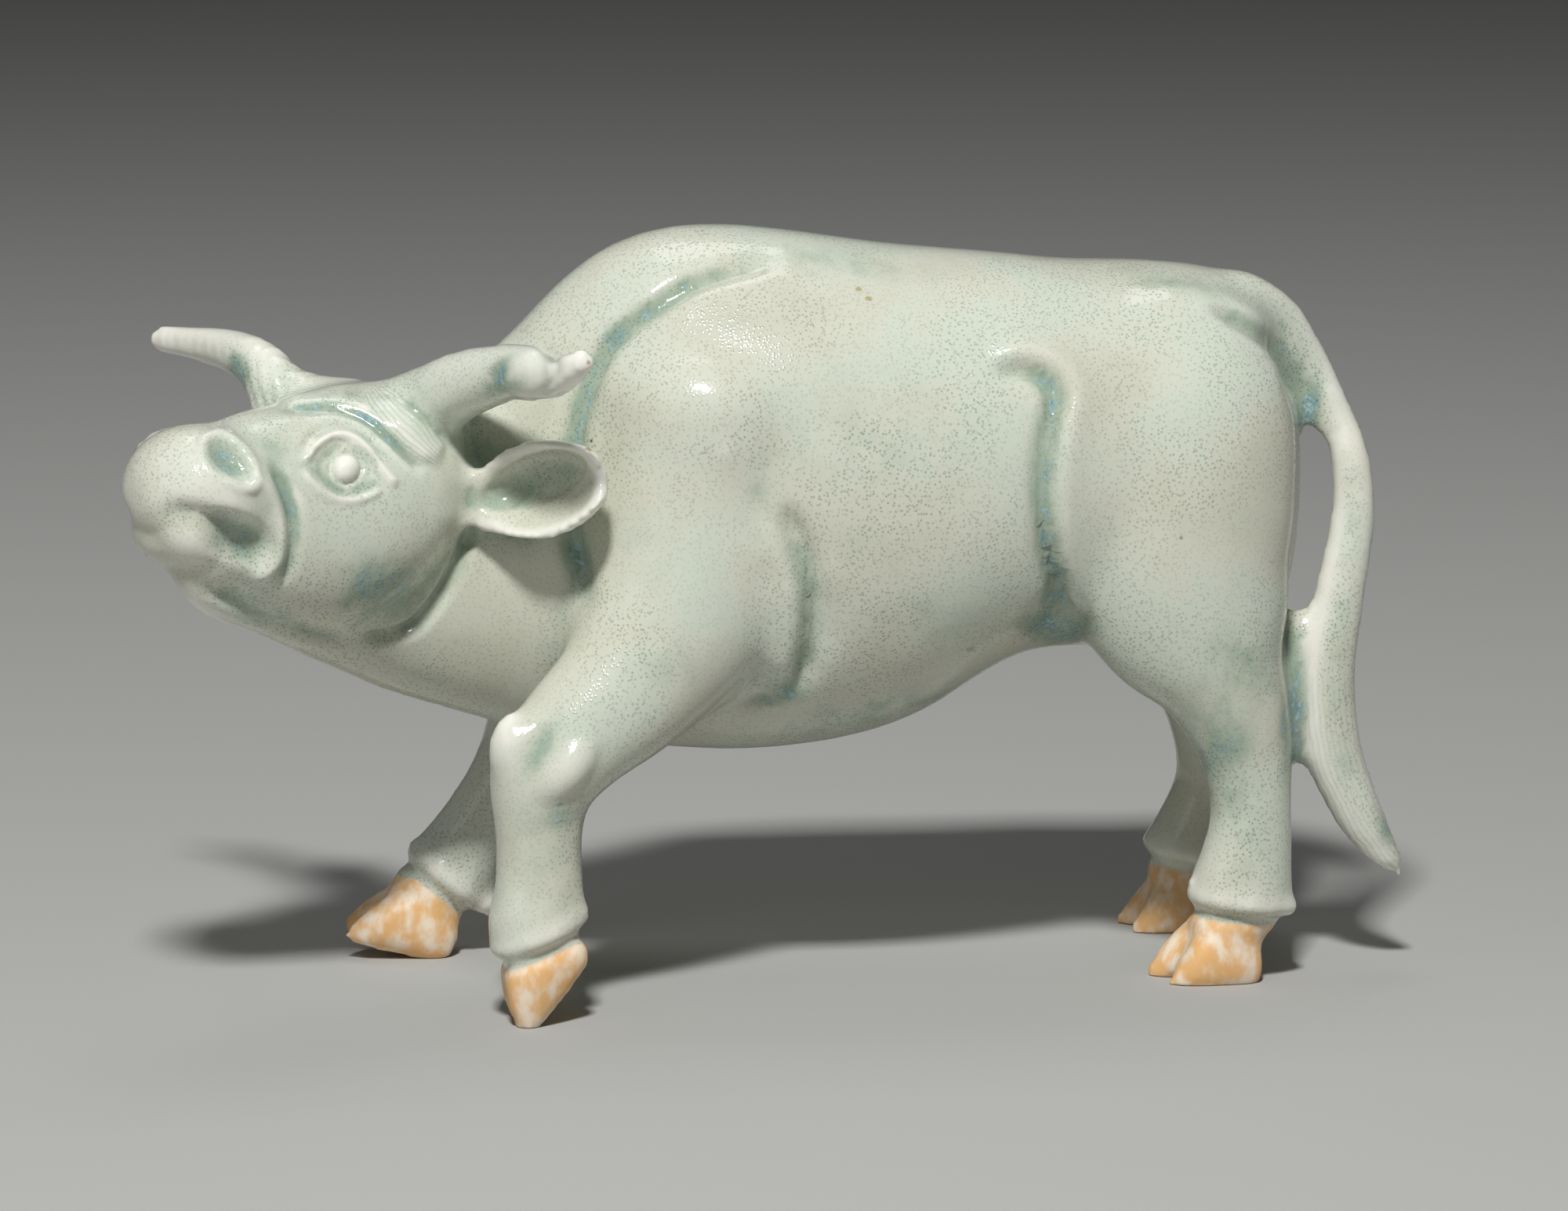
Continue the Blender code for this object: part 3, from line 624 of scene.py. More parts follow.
@dataclass(frozen=True)
class Carving:
    """Grooves, dishes and pools of the flanks and the face, laid out on the sheet."""

    trunk_grooves: tuple[Line, ...] = (
        Line(
            (
                (1000, 334), (964, 337), (887, 360), (837, 390), (791, 425), (765, 459),
                (742, 520), (734, 559), (730, 681), (742, 719), (757, 800),
            ),
            12, 1.35, 0.16, -0.35,
        ),
        Line(
            ((992, 636), (1012, 676), (1030, 722), (1036, 786), (1026, 850), (1000, 893)),
            15, 1.6, 0.2, 1.1, 55,
        ),
        Line(((1052, 735), (1060, 790), (1050, 850)), 16, 0.45, 0.4),
        Line(((1010, 890), (975, 893), (938, 905)), 9, 0.7, 0.3),
        Line(
            (
                (1262, 474), (1296, 471), (1324, 476), (1343, 490), (1348, 512), (1339, 549),
                (1332, 611), (1336, 694), (1349, 748), (1352, 800),
            ),
            12, 1.6, 0.12, -1.1, 42,
        ),
        Line(((1536, 384), (1578, 406), (1618, 432), (1645, 474), (1656, 530)), 10, 1.4, 0.25, 0.3),
        Line(((700, 920), (689, 948), (668, 982)), 10, 0.6, 0.3),
    )
    jaw_grooves: tuple[Line, ...] = (
        Line(
            ((606, 668), (596, 694), (582, 724), (560, 762), (530, 797), (494, 812), (455, 815)),
            8, 1.5, 0.12,
        ),
    )
    trunk_dishes: tuple[Oval, ...] = (
        Oval((1351, 790), (48, 40), 0.9), Oval((925, 480), (170, 140), -0.8, 0, 2),
        Oval((724, 983), (54, 27), -1.3, -50),
    )
    head_grooves: tuple[Line, ...] = (
        Line(
            ((350, 522), (400, 520), (435, 522), (468, 535), (498, 560), (519, 581), (544, 602)),
            5.5, 0.6, 0.1, -0.4, 26,
        ),
        Line(((340, 580), (362, 620), (374, 668), (371, 712), (352, 750)), 8, 0.75, 0.2, 0.3),
        Line(
            ((312, 606), (336, 626), (352, 656), (357, 690), (346, 722), (316, 744)),
            9, -0.85, 0.12,
        ),
        Line(((196, 664), (224, 655), (256, 658), (288, 668), (312, 680)), 15, 0.9, 0.35),
        Line(((240, 736), (301, 770), (345, 794), (408, 812), (455, 811)), 8, 0.7, 0.2),
    )
    head_dishes: tuple[Oval, ...] = (
        Oval((303, 686), (60, 36), 1.7, 24, 1.5), Oval((236, 699), (54, 28), -0.95, 6, 1.5),
        Oval((292, 587), (38, 24), 1.7, 38, 0.6), Oval((441, 600), (62, 44), 0.5, 20),
        Oval((528, 552), (66, 20), -0.75, 45, 0.8),
    )
    ear_dishes: tuple[Oval, ...] = (
        Oval((683, 612), (70, 33), 0.8, -20, 0.6), Oval((644, 629), (38, 21), 1.1, -22),
    )
    eye_grooves: tuple[Line, ...] = (
        Line(
            ((386, 594), (399, 573), (420, 558), (444, 557), (468, 573), (490, 602), (508, 624)),
            5.5, -0.7, 0.1,
        ),
        Line(
            ((386, 594), (396, 614), (418, 632), (446, 639), (472, 633), (490, 622)),
            5.5, -0.5, 0.15,
        ),
        Line(
            ((378, 578), (398, 553), (426, 541), (454, 545), (478, 567), (500, 597)),
            5.5, 0.3, 0.25,
        ),
        Line(((441, 571), (467, 597), (441, 623), (415, 597), (441, 571)), 4, -0.2),
    )
    eye_dishes: tuple[Oval, ...] = (
        Oval((440, 598), (38, 32), 0.5, 12), Oval((441, 597), (19, 19), -1.6, 0, 0.7),
    )
    nostril_rim: tuple[Line, ...] = (
        Line(
            (
                (262, 560), (282, 553), (308, 572), (326, 602), (322, 622), (300, 618), (272, 596),
                (260, 574), (262, 560),
            ),
            7, -0.45,
        ),
    )
    hair_left: Path = ((458, 490), (474, 520), (508, 556), (563, 596))
    hair_right: Path = ((486, 488), (520, 515), (558, 552), (586, 592))
    strands: int = 7
    pools: tuple[Oval, ...] = (
        Oval((1351, 800), (52, 20), 0.85), Oval((1346, 772), (18, 34), 0.8),
        Oval((1004, 884), (36, 16), 0.6, -20), Oval((1656, 462), (9, 30), 0.4, -20),
        Oval((1670, 532), (13, 46), 1, 8), Oval((1650, 920), (15, 72), 1, 4),
        Oval((1768, 1062), (12, 40), 0.6, -28), Oval((1560, 950), (44, 96), 0.55),
        Oval((1588, 850), (60, 64), 0.4), Oval((690, 955), (16, 44), 0.55, 28),
        Oval((712, 1040), (36, 22), 0.45), Oval((1120, 560), (190, 140), 0.2),
        Oval((860, 850), (80, 60), 0.25), Oval((820, 700), (60, 90), 0.2),
        Oval((1180, 790), (90, 40), 0.3), Oval((690, 1090), (50, 110), 0.3),
        Oval((1590, 1060), (40, 90), 0.3), Oval((1050, 335), (170, 24), 0.3, 5),
        Oval((1470, 360), (120, 22), 0.35, 6), Oval((470, 822), (100, 20), 0.5),
        Oval((1120, 905), (160, 24), 0.4, -14), Oval((700, 500), (50, 60), 0.2),
        Oval((690, 1222), (44, 10), 0.35, -18), Oval((1560, 1168), (50, 8), 0.4),
    )
    runs: tuple[Line, ...] = (
        Line(
            (
                (975, 336), (887, 360), (837, 390), (791, 425), (765, 459), (744, 520), (736, 559),
                (731, 681), (740, 719), (752, 790),
            ),
            10, 0.62, 0.12,
        ),
        Line(
            (
                (1300, 474), (1332, 484), (1344, 512), (1338, 549), (1332, 611), (1336, 694),
                (1349, 748), (1351, 790),
            ),
            10, 0.68, 0.12,
        ),
        Line(((1006, 680), (1026, 730), (1029, 782), (1020, 851), (1002, 888)), 10, 0.35, 0.12),
        Line(((1556, 396), (1600, 416), (1636, 450), (1654, 510)), 7, 0.45, 0.12),
        Line(
            ((1722, 560), (1727, 640), (1718, 740), (1704, 850), (1712, 950), (1738, 1030)),
            13, 0.3, 0.12,
        ),
        Line(
            ((600, 692), (584, 724), (562, 762), (532, 797), (494, 812), (440, 816)),
            10, 0.45, 0.12,
        ),
    )
    head_pools: tuple[Oval, ...] = (
        Oval((488, 746), (72, 40), 0.6, -14), Oval((574, 640), (14, 60), 0.6, -8),
        Oval((292, 587), (30, 18), 0.7, 38), Oval((303, 688), (40, 24), 0.62, 24),
        Oval((350, 570), (30, 50), 0.35, -20), Oval((450, 505), (16, 16), 0.4),
        Oval((520, 560), (40, 30), 0.2), Oval((545, 700), (40, 40), 0.22),
        Oval((330, 774), (100, 13), 0.45, 24), Oval((225, 655), (44, 9), 0.35),
    )
    head_runs: tuple[Line, ...] = (
        Line(
            ((350, 522), (400, 520), (435, 522), (468, 535), (498, 560), (519, 581)),
            5, 0.7, 0.12,
        ),
        Line(((352, 600), (368, 640), (374, 675), (370, 712), (352, 742)), 8, 0.45, 0.12),
        Line(
            ((402, 590), (404, 606), (420, 622), (446, 628), (468, 620), (476, 604)),
            7, 0.3, 0.12,
        ),
    )
    limb_pools: tuple[Oval, ...] = (
        Oval((642, 492), (34, 12), 0.6, -8), Oval((306, 474), (13, 24), 1, -14),
        Oval((640, 638), (26, 15), 0.35, -16), Oval((700, 470), (10, 24), 0.3),
    )
    flaws: tuple[tuple[float, float, float, str], ...] = (
        (754, 566, 0.7, "A9865A"), (752, 562, 0.35, "4A3018"), (1096, 368, 0.6, "A8A071"),
        (1103, 379, 0.6, "A8A071"), (1237, 829, 0.9, "B5A88A"), (1507, 690, 0.3, "8C8F80"),
        (749, 462, 0.5, "B7A181"),
    )


@dataclass
class Skin:
    """Points and normals of the joined skin, with the sheet that carvings are laid out on."""

    mesh: bpy.types.Mesh
    head: Head
    sheet: Sheet = Sheet()
    places: np.ndarray = field(init=False)
    normals: np.ndarray = field(init=False)

    def __post_init__(self) -> None:
        """Read the mesh."""
        count = len(self.mesh.vertices)
        flat = np.empty(count * 3)
        self.mesh.vertices.foreach_get("co", flat)
        self.places = flat.reshape(-1, 3).copy()
        self.mesh.vertices.foreach_get("normal", flat)
        self.normals = flat.reshape(-1, 3).copy()

    def put(self) -> None:
        """Write the points back and read the new normals."""
        self.mesh.vertices.foreach_set("co", self.places.ravel())
        self.mesh.update()
        self.__post_init__()

    def mirrored(self, zone: Zone, side: Side) -> tuple[np.ndarray, np.ndarray]:
        """Give points and normals, mirrored in the zone's middle plane for the far side.

        Args:
            zone: Part that is meant. The turned head has a plane of its own.
            side: Flank that is wanted.

        Returns:
            Points and normals as the near side would show them.
        """
        if side is Side.NEAR:
            return self.places, self.normals
        if zone in (Zone.HEAD, Zone.SLIM):
            axes = self.head.axes()
            flip = np.array(axes @ Matrix.Diagonal((1, -1, 1, 1)) @ axes.inverted())
        else:
            flip = np.array(Matrix.Translation((0, 2 * MIDLINE, 0)) @ Matrix.Diagonal((1, -1, 1, 1)))
        return self.places @ flip[:3, :3].T + flip[:3, 3], self.normals @ flip[:3, :3].T

    def slim(self, local: np.ndarray) -> np.ndarray:
        """Mark horns and ears among places in the head's axes, from 0 to 1."""
        root = np.array(self.head.ear_root)
        run = np.array(self.head.ear_tip) - root
        forward, aside, height = local[:, 0], np.abs(local[:, 1]), local[:, 2]
        off = np.stack((forward, aside, height), axis=1) - root
        share = np.clip(off @ run / (run @ run), self.head.ear_from, 1.0)
        ear = ramp(np.linalg.norm(off - share[:, None] * run, axis=1), self.head.ear_reach, -1.4)
        horn = ramp(height, self.head.horn_above, 1.5) * ramp(aside, self.head.horn_beside, 1.5)
        return np.maximum(ear, horn * (np.abs(forward - 4.0) < 9.0))

    def view(self, zone: Zone, side: Side) -> tuple[np.ndarray, np.ndarray]:
        """Find where the skin falls on the sheet and which of it may be carved.

        Args:
            zone: Part that the carving stays on.
            side: Flank that the carving is on.

        Returns:
            Spots on the sheet and a mask between 0 and 1.
        """
        places, normals = self.mirrored(zone, side)
        facing = normals @ self.sheet.back
        local = self.head.local(places)
        inside = (local[:, 0] > -5.0) & (local[:, 0] < 42.0) & (np.abs(local[:, 2] + 1.0) < 17.5)
        inside &= np.abs(local[:, 1]) < 14.5
        mask = ramp(facing, 0.0, GRAZING)
        slim = self.slim(local)
        if zone is Zone.HEAD:
            mask = mask * inside * (1.0 - slim) * (local[:, 1] > -2.0)
        elif zone is Zone.TRUNK:
            mask = mask * ~inside * (1.0 - slim) * (places[:, 1] < MIDLINE - 2.0)
        elif zone is Zone.SLIM:
            mask = mask * slim
        return self.sheet.spots(places), mask

    def carve(self, grooves: tuple[Line, ...], dishes: tuple[Oval, ...], zone: Zone) -> None:
        """Cut grooves and press dishes.

        Args:
            grooves: Grooves to cut.
            dishes: Dishes to press.
            zone: Part that they stay on. Those of any part are on the near side only.
        """
        for side in (Side.NEAR,) if zone is Zone.ANY else Side:
            spots, mask = self.view(zone, side)
            open_to = np.flatnonzero(mask)
            spots = spots[open_to]
            push = np.zeros(len(spots))
            for groove in grooves:
                gap, along, way = trace(spots, groove.path)
                fade = ends(along, groove.fade)
                fade = fade * fade * (3 - 2 * fade)
                push -= groove.amount * bell(gap, groove.width) * fade
                if groove.bank:
                    rise = bell(gap, groove.reach) * (1 - bell(gap, groove.width))
                    push += abs(groove.bank) * rise * fade * (way * np.sign(groove.bank) > 0)
            for dish in dishes:
                push -= dish.amount * np.clip(1.0 - dish.gap(spots) ** 2, 0.0, 1.0) ** dish.flat
            self.places[open_to] += self.normals[open_to] * (push * mask[open_to])[:, None]
            self.put()


@dataclass
class Buffalo:
    """The whole beast, built as one skin."""

    grain: float = 0.97
    body_rounds: int = 11
    limb_rounds: int = 3
    finest_box: Rows = ((3.0, 5.0, -3.0), (24.0, 14.0, 11.5))
    rim_height: float = 0.5
    rim: tuple[float, float] = (0.8, 1.1)  # middle along the leg from its fetlock, and width
    recess: tuple[float, float] = (-1.0, 0.9)
    rim_reach: float = 9.5
    notch_depth: float = 0.35
    notch: Path = ((694, 444), (707, 460), (706, 480), (692, 500))
    wrinkle_height: float = 0.09
    wrinkle_gap: float = 1.4
    trunk: Trunk = field(default_factory=Trunk)
    legs: tuple[Leg, ...] = field(default_factory=four_legs)
    tail: Tail = field(default_factory=Tail)
    head: Head = field(default_factory=Head)
    carving: Carving = Carving()
    fill_at: tuple[float, float] = (6.0, 5.0)
    fill_span: tuple[float, float] = (60.0, 95.0)
    fill_bore: float = 3.5
    spout_mouth: tuple[float, float, float] = (38.0, -8.0, -4.6)
    spout_inner: tuple[float, float, float] = (-36.0, -5.5, 55.0)
    spout_bore: float = 1.8

    def build(self) -> tuple[bpy.types.Object, list[Flaw]]:
        """Model the beast.

        Returns:
            The finished piece in metres, and where its glaze has flaws.
        """
        clay = Clay()
        self.trunk.add(clay)
        for leg in self.legs:
            leg.add(clay)
        self.tail.add(clay)
        self.head.add(clay)
        bmesh.ops.recalc_face_normals(clay.form, faces=clay.form.faces)
        thing = add_object("buffalo_glazed", clay.form)
        self.join(thing)
        skin = Skin(thing.data, self.head)
        skin.carve(self.carving.trunk_grooves, self.carving.trunk_dishes, Zone.TRUNK)
        self.refine(thing, self.fine_places, 2)
        skin = Skin(thing.data, self.head)
        skin.carve(self.carving.head_grooves, self.carving.head_dishes, Zone.HEAD)
        skin.carve(self.carving.jaw_grooves, (), Zone.ANY)
        skin.carve((), self.carving.ear_dishes, Zone.SLIM)
        self.carve_fetlocks(skin)
        self.carve_horns(skin)
        self.refine(thing, self.finest_places, 1)
        skin = Skin(thing.data, self.head)
        self.carve_eyes(skin)
        self.hollow(thing)
        self.paint(thing)
        flaws = self.flaw_places(Skin(thing.data, self.head))
        thing.data.transform(Matrix.Diagonal((MM, MM, MM, 1.0)) @ Matrix.Translation(SHIFT))
        thing.data.shade_smooth()
        return thing, flaws

    def join(self, thing: bpy.types.Object) -> None:
        """Join the lumps into one skin and soften it, thin limbs less than the body."""
        fuse = thing.modifiers.new("fuse", "REMESH")
        fuse.mode = "VOXEL"
        fuse.voxel_size = self.grain
        settle(thing)
        form = bmesh.new()
        form.from_mesh(thing.data)
        skin = Skin(thing.data, self.head)
        thin = skin.slim(self.head.local(skin.places)) > 0.5
        thin |= (skin.places[:, 0] > TAIL_FROM + 1.5) | (skin.places[:, 2] < FEET_BELOW)
        for want, rounds in ((False, self.body_rounds), (True, self.limb_rounds)):
            soften(form, [vert for vert, slim in zip(form.verts, thin) if slim == want], rounds)
        form.to_mesh(thing.data)
        form.free()

    def fine_places(self, places: np.ndarray) -> np.ndarray:
        """Mark what needs a finer skin: head, hooves and tail."""
        local = self.head.local(places)
        head = (local[:, 0] > -9.0) & (local[:, 2] > -18.0) & (places[:, 0] < -21.0)
        return head | (places[:, 2] < FEET_BELOW)

    def finest_places(self, places: np.ndarray) -> np.ndarray:
        """Mark what needs the finest skin: eyes and the hair beside them."""
        local = self.head.local(places)
        folded = np.stack((local[:, 0], np.abs(local[:, 1]), local[:, 2]), axis=1)
        low, high = self.finest_box
        return ((folded > low) & (folded < high)).all(axis=1)

    def refine(self, thing: bpy.types.Object, choose: Any, rounds: int) -> None:
        """Divide the skin where finer carving follows.

        Args:
            thing: Object to divide.
            choose: Function that marks places.
            rounds: Rounds of softening afterwards.
        """
        form = bmesh.new()
        form.from_mesh(thing.data)
        chosen = choose(np.array([vert.co for vert in form.verts]))
        edges = [edge for edge in form.edges if all(chosen[vert.index] for vert in edge.verts)]
        bmesh.ops.subdivide_edges(form, edges=edges, cuts=1, use_grid_fill=True)
        form.verts.ensure_lookup_table()
        chosen = choose(np.array([vert.co for vert in form.verts]))
        soften(form, [vert for vert, fine in zip(form.verts, chosen) if fine], rounds)
        form.to_mesh(thing.data)
        form.free()
        log.info("skin has %d faces", len(thing.data.polygons))

    def carve_fetlocks(self, skin: Skin) -> None:
        """Raise the rim above each hoof and cut the recess under it."""
        for leg in self.legs:
            high, reach = leg.above_fetlock(skin.places)
            rise, dip = (bell(high - middle, width) for middle, width in (self.rim, self.recess))
            push = self.rim_height * (rise - dip) * ramp(reach, self.rim_reach, -1.0)
            skin.places = skin.places + skin.normals * push[:, None]
            skin.put()

    def carve_horns(self, skin: Skin) -> None:
        """Notch the near horn and wrinkle the far horn's root."""
        local = self.head.local(skin.places)
        spots = skin.sheet.spots(skin.places)
        forward, left, height = local.T
        gap, _, _ = trace(spots, self.notch)
        push = -self.notch_depth * bell(gap, 6.5) * ((left > 12.0) & (height > 9.5))
        root = ramp(left, -6.0, -2.0) * ramp(left, -15.0, 4.0)
        root = root * ((left < -5.0) & (height > 8.0) & (forward > 0.0))
        ring = np.sin((left + 0.4 * height) * 2 * math.pi / self.wrinkle_gap)
        push += self.wrinkle_height * ring * root
        skin.places = skin.places + skin.normals * push[:, None]
        skin.put()

    def carve_eyes(self, skin: Skin) -> None:
        """Carve lids, pupils and nostril rims."""
        grooves = self.carving.eye_grooves + self.carving.nostril_rim
        skin.carve(grooves, self.carving.eye_dishes, Zone.HEAD)

    def hollow(self, thing: bpy.types.Object) -> None:
        """Cut the water chamber, the filling hole, the pouring hole and the flat soles."""
        chamber = Clay(sides=40)
        self.trunk.add_chamber(chamber)
        bmesh.ops.recalc_face_normals(chamber.form, faces=chamber.form.faces)
        cutters = [add_object("chamber", chamber.form)]
        low, high = (Vector((*self.fill_at, height)) for height in self.fill_span)
        cutters.append(add_bore("filling_hole", low, high, self.fill_bore))
        mouth = self.head.axes() @ Vector(self.spout_mouth)
        cutters.append(add_bore("pouring_hole", Vector(self.spout_inner), mouth, self.spout_bore))
        for cutter in cutters:
            cut = thing.modifiers.new(cutter.name, "BOOLEAN")
            cut.operation = "DIFFERENCE"
            cut.solver = "EXACT"
            cut.object = cutter
        settle(thing)
        for cutter in cutters:
            bpy.data.objects.remove(cutter)
        form = bmesh.new()
        form.from_mesh(thing.data)
        geom = list(form.verts) + list(form.edges) + list(form.faces)
        bmesh.ops.bisect_plane(form, geom=geom, plane_co=(0, 0, 0), plane_no=(0, 0, 1), dist=1e-5)
        for vert in form.verts:
            vert.co.z = max(vert.co.z, 0.0)
        form.to_mesh(thing.data)
        form.free()

    def paint(self, thing: bpy.types.Object) -> None:
        """Mark where the glaze is thick or thin, with a painted reflection down one edge of the tail,
        where hair is combed and where the hooves are bare.
        """
        skin = Skin(thing.data, self.head)
        bend, broad = self.bends(skin)
        pool = self.pooled(skin)
        hair, comb = self.combed(skin)
        thick = ramp(bend, 0.0, 0.25) * 0.6 + np.clip(broad * 7.0, 0.0, 1.0) * 0.5
        thin = np.clip((-bend - 0.035) * 7.0, 0.0, 0.9)
        # Painted reflection: one edge of the tail is whitened, mostly as a lamp's reflection and partly
        # as glaze running thin over that edge.
        tail_edge_reflection = (skin.places[:, 0] > TAIL_FROM) * np.clip((comb - 0.4) / 2.4, 0.0, 0.8) * (comb < 5.0)
        values = {
            "thick": np.clip(thick, 0.0, 1.0) + 0.8 * pool,
            # The thin mark holds glaze thinned over ridges and also the painted reflection on the tail's
            # edge.
            "thin": np.maximum(thin, tail_edge_reflection) * np.clip(1.0 - 1.7 * pool, 0.0, 1.0),
            "pool": pool,
            "hair": hair,
            "comb": comb,
            "bare": self.unglazed(skin),
        }
        for name, value in values.items():
            layer = thing.data.attributes.new(name, "FLOAT", "POINT")
            layer.data.foreach_set("value", value.astype(np.float32))

    def bends(self, skin: Skin) -> tuple[np.ndarray, np.ndarray]:
        """Work out how hollow the skin is at each point, close by and further round.

        Args:
            skin: Finished skin.

        Returns:
            Hollowness in 1/mm, below zero over edges, evened out a little and a lot.
        """
        edges = np.empty(len(skin.mesh.edges) * 2, dtype=np.int64)
        skin.mesh.edges.foreach_get("vertices", edges)
        first, second = edges.reshape(-1, 2).T
        count = len(skin.places)

        def total(at_first: np.ndarray, at_second: np.ndarray) -> np.ndarray:
            """Sum values of the edges over the points at their ends."""
            there = np.bincount(second, weights=at_second, minlength=count)
            return np.bincount(first, weights=at_first, minlength=count) + there

        degree = np.maximum(total(np.ones(len(first)), np.ones(len(first))), 1.0)

        def around(values: np.ndarray) -> np.ndarray:
            """Mean of a value over each point's neighbours."""
            return total(values[second], values[first]) / degree

        mean = np.stack([around(skin.places[:, axis]) for axis in range(3)], axis=1)
        run = np.linalg.norm(skin.places[first] - skin.places[second], axis=1) ** 2
        span = np.maximum(total(run, run) / degree, 1e-6)
        bend = np.sum((mean - skin.places) * skin.normals, axis=1) / span
        bend = np.clip(bend, -0.8, 0.8)
        fine = self.fine_places(skin.places)
        results = []
        for coarse_turns, turns in ((9, 36), (40, 120)):
            for turn in range(turns):
                softer = 0.5 * bend + 0.5 * around(bend)
                bend = softer if turn < coarse_turns else np.where(fine, softer, bend)
            results.append(bend)
        return results[0], results[1]

    def pooled(self, skin: Skin) -> np.ndarray:
        """Work out where the glaze ran together."""
        pool = np.zeros(len(skin.places))
        cuts = self.carving
        layers = (
            (cuts.pools, cuts.runs, Zone.TRUNK),
            (cuts.head_pools, cuts.head_runs, Zone.HEAD),
            (cuts.limb_pools, (), Zone.SLIM),
        )
        for pools, runs, zone in layers:
            for side in Side:
                spots, mask = skin.view(zone, side)
                for item in pools:
                    pool = np.maximum(pool, item.amount * np.exp(-(item.gap(spots) ** 2) * 0.9) * mask)
                for line in runs:
                    gap, along, _ = trace(spots, line.path)
                    core = bell(gap, line.width) + 0.35 * bell(gap / line.width, 3.2)
                    core = np.minimum(core, 1.0) * ends(along, line.fade)
                    pool = np.maximum(pool, line.amount * core * mask)
        return pool

    def combed(self, skin: Skin) -> tuple[np.ndarray, np.ndarray]:
        """Work out where hair is combed into the clay and count its strands across.

        Args:
            skin: Finished skin.

        Returns:
            Share of hair and the strand number, both for each point.
        """
        count = len(skin.places)
        hair = np.zeros(count)
        comb = np.zeros(count)
        left, right = np.array(self.carving.hair_left), np.array(self.carving.hair_right)
        middle = tuple(map(tuple, (left + right) / 2))
        half = np.linalg.norm(right - left, axis=1) / 2
        for side in Side:
            spots, mask = skin.view(Zone.HEAD, side)
            mask = mask * (self.head.local(skin.mirrored(Zone.HEAD, side)[0])[:, 1] > 2.0)
            gap, along, way = trace(spots, middle)
            wide = np.interp(along, np.linspace(0, 1, len(half)), half)
            share = ramp(gap / wide, 1.15, -0.3) * ends(along, 0.1) * mask
            comb = np.where(share > hair, (1 + way * gap / wide) * self.carving.strands / 2, comb)
            hair = np.maximum(hair, share)
        spots = skin.sheet.spots(skin.places)
        line = skin.sheet.spots(np.array(self.tail.rows)[5:, :3])
        gap, along, way = trace(spots, tuple(map(tuple, line)))
        tail = skin.places[:, 0] > TAIL_FROM
        share = tail * ramp(gap, 36.0, -6.0) * np.clip((along - 0.3) / 0.2, 0, 0.6)
        comb = np.where(tail, way * gap / 7.0, comb)
        return np.maximum(hair, share), comb

    def unglazed(self, skin: Skin) -> np.ndarray:
        """Work out where the hooves are bare."""
        bare = np.zeros(len(skin.places))
        for leg in self.legs:
            high, reach = leg.above_fetlock(skin.places)
            near = np.hypot(high, reach) < 15.0
            bare = np.maximum(bare, ramp(high, -1.0, -0.9) * near)
        return bare * (skin.places[:, 2] < 9.5)

    def flaw_places(self, skin: Skin) -> list[Flaw]:
        """Find the small flaws of the glaze on the skin.

        Args:
            skin: Finished skin.

        Returns:
            Place of each in metres, its radius in millimetres and its colour.
        """
        spots = skin.sheet.spots(skin.places)
        facing = skin.normals @ skin.sheet.back
        depth = skin.places @ skin.sheet.back
        found = []
        for column, row, radius, colour in self.carving.flaws:
            gap = np.hypot(spots[:, 0] - column, spots[:, 1] - row)
            rank = np.where((facing > 0.2) & (gap < 16.0), gap - 0.3 * depth, np.inf)
            place = Vector(skin.places[int(np.argmin(rank))]) + SHIFT
            found.append((place * MM, radius, colour))
        return found


def soften(form: bmesh.types.BMesh, verts: list[bmesh.types.BMVert], rounds: int) -> None:
    """Smooth some points by a few rounds."""
    for _ in range(rounds):
        bmesh.ops.smooth_vert(
            form, verts=verts, factor=0.5, use_axis_x=True, use_axis_y=True, use_axis_z=True
        )


def show(name: str, data: Any) -> bpy.types.Object:
    """Put an object with its mesh, lamp or lens into the scene."""
    thing = bpy.data.objects.new(name, data)
    bpy.context.scene.collection.objects.link(thing)
    return thing


def add_object(name: str, form: bmesh.types.BMesh) -> bpy.types.Object:
    """Make an object of a finished form, which is freed.

    Args:
        name: Name of object and mesh.
        form: Form to use up.

    Returns:
        The object, in the scene.
    """
    mesh = bpy.data.meshes.new(name)
    form.to_mesh(mesh)
    form.free()
    return show(name, mesh)


def add_bore(name: str, start: Vector, end: Vector, bore: float) -> bpy.types.Object:
    """Make the cutter of a round hole.

    Args:
        name: Name of the cutter.
        start: One end of the hole.
        end: Its other end.
        bore: Its diameter.

    Returns:
        The cutter.
    """
    form = bmesh.new()
    run = end - start
    shape = Matrix.Translation((start + end) / 2) @ run.to_track_quat("Z", "Y").to_matrix().to_4x4()
    sizes = {"radius1": bore / 2, "radius2": bore / 2, "depth": run.length}
    bmesh.ops.create_cone(form, cap_ends=True, segments=32, matrix=shape, **sizes)
    return add_object(name, form)


def settle(thing: bpy.types.Object) -> None:
    """Replace a modified object's mesh by its result."""
    bpy.context.view_layer.update()
    result = thing.evaluated_get(bpy.context.evaluated_depsgraph_get())
    mesh = bpy.data.meshes.new_from_object(result)
    thing.modifiers.clear()
    thing.data = mesh


def add_node(
    tree: bpy.types.NodeTree,
    kind: str,
    settings: dict[str, Any] | None = None,
    inputs: dict[str | int, Any] | None = None,
    output: str | int = 0,
) -> bpy.types.NodeSocket:
    """Add a node with its settings, fixed inputs and links.

    Args:
        tree: Tree that gets the node.
        kind: Node type without its ShaderNode prefix.
        settings: Properties of the node.
        inputs: Values or sockets by input name or number.
        output: Output that is wanted.

    Returns:
        The output.
    """
    node = tree.nodes.new("ShaderNode" + kind)
    for key, value in (settings or {}).items():
        setattr(node, key, value)
    for key, value in (inputs or {}).items():
        if isinstance(value, bpy.types.NodeSocket):
            tree.links.new(value, node.inputs[key])
        else:
            node.inputs[key].default_value = value
    return node.outputs[output]


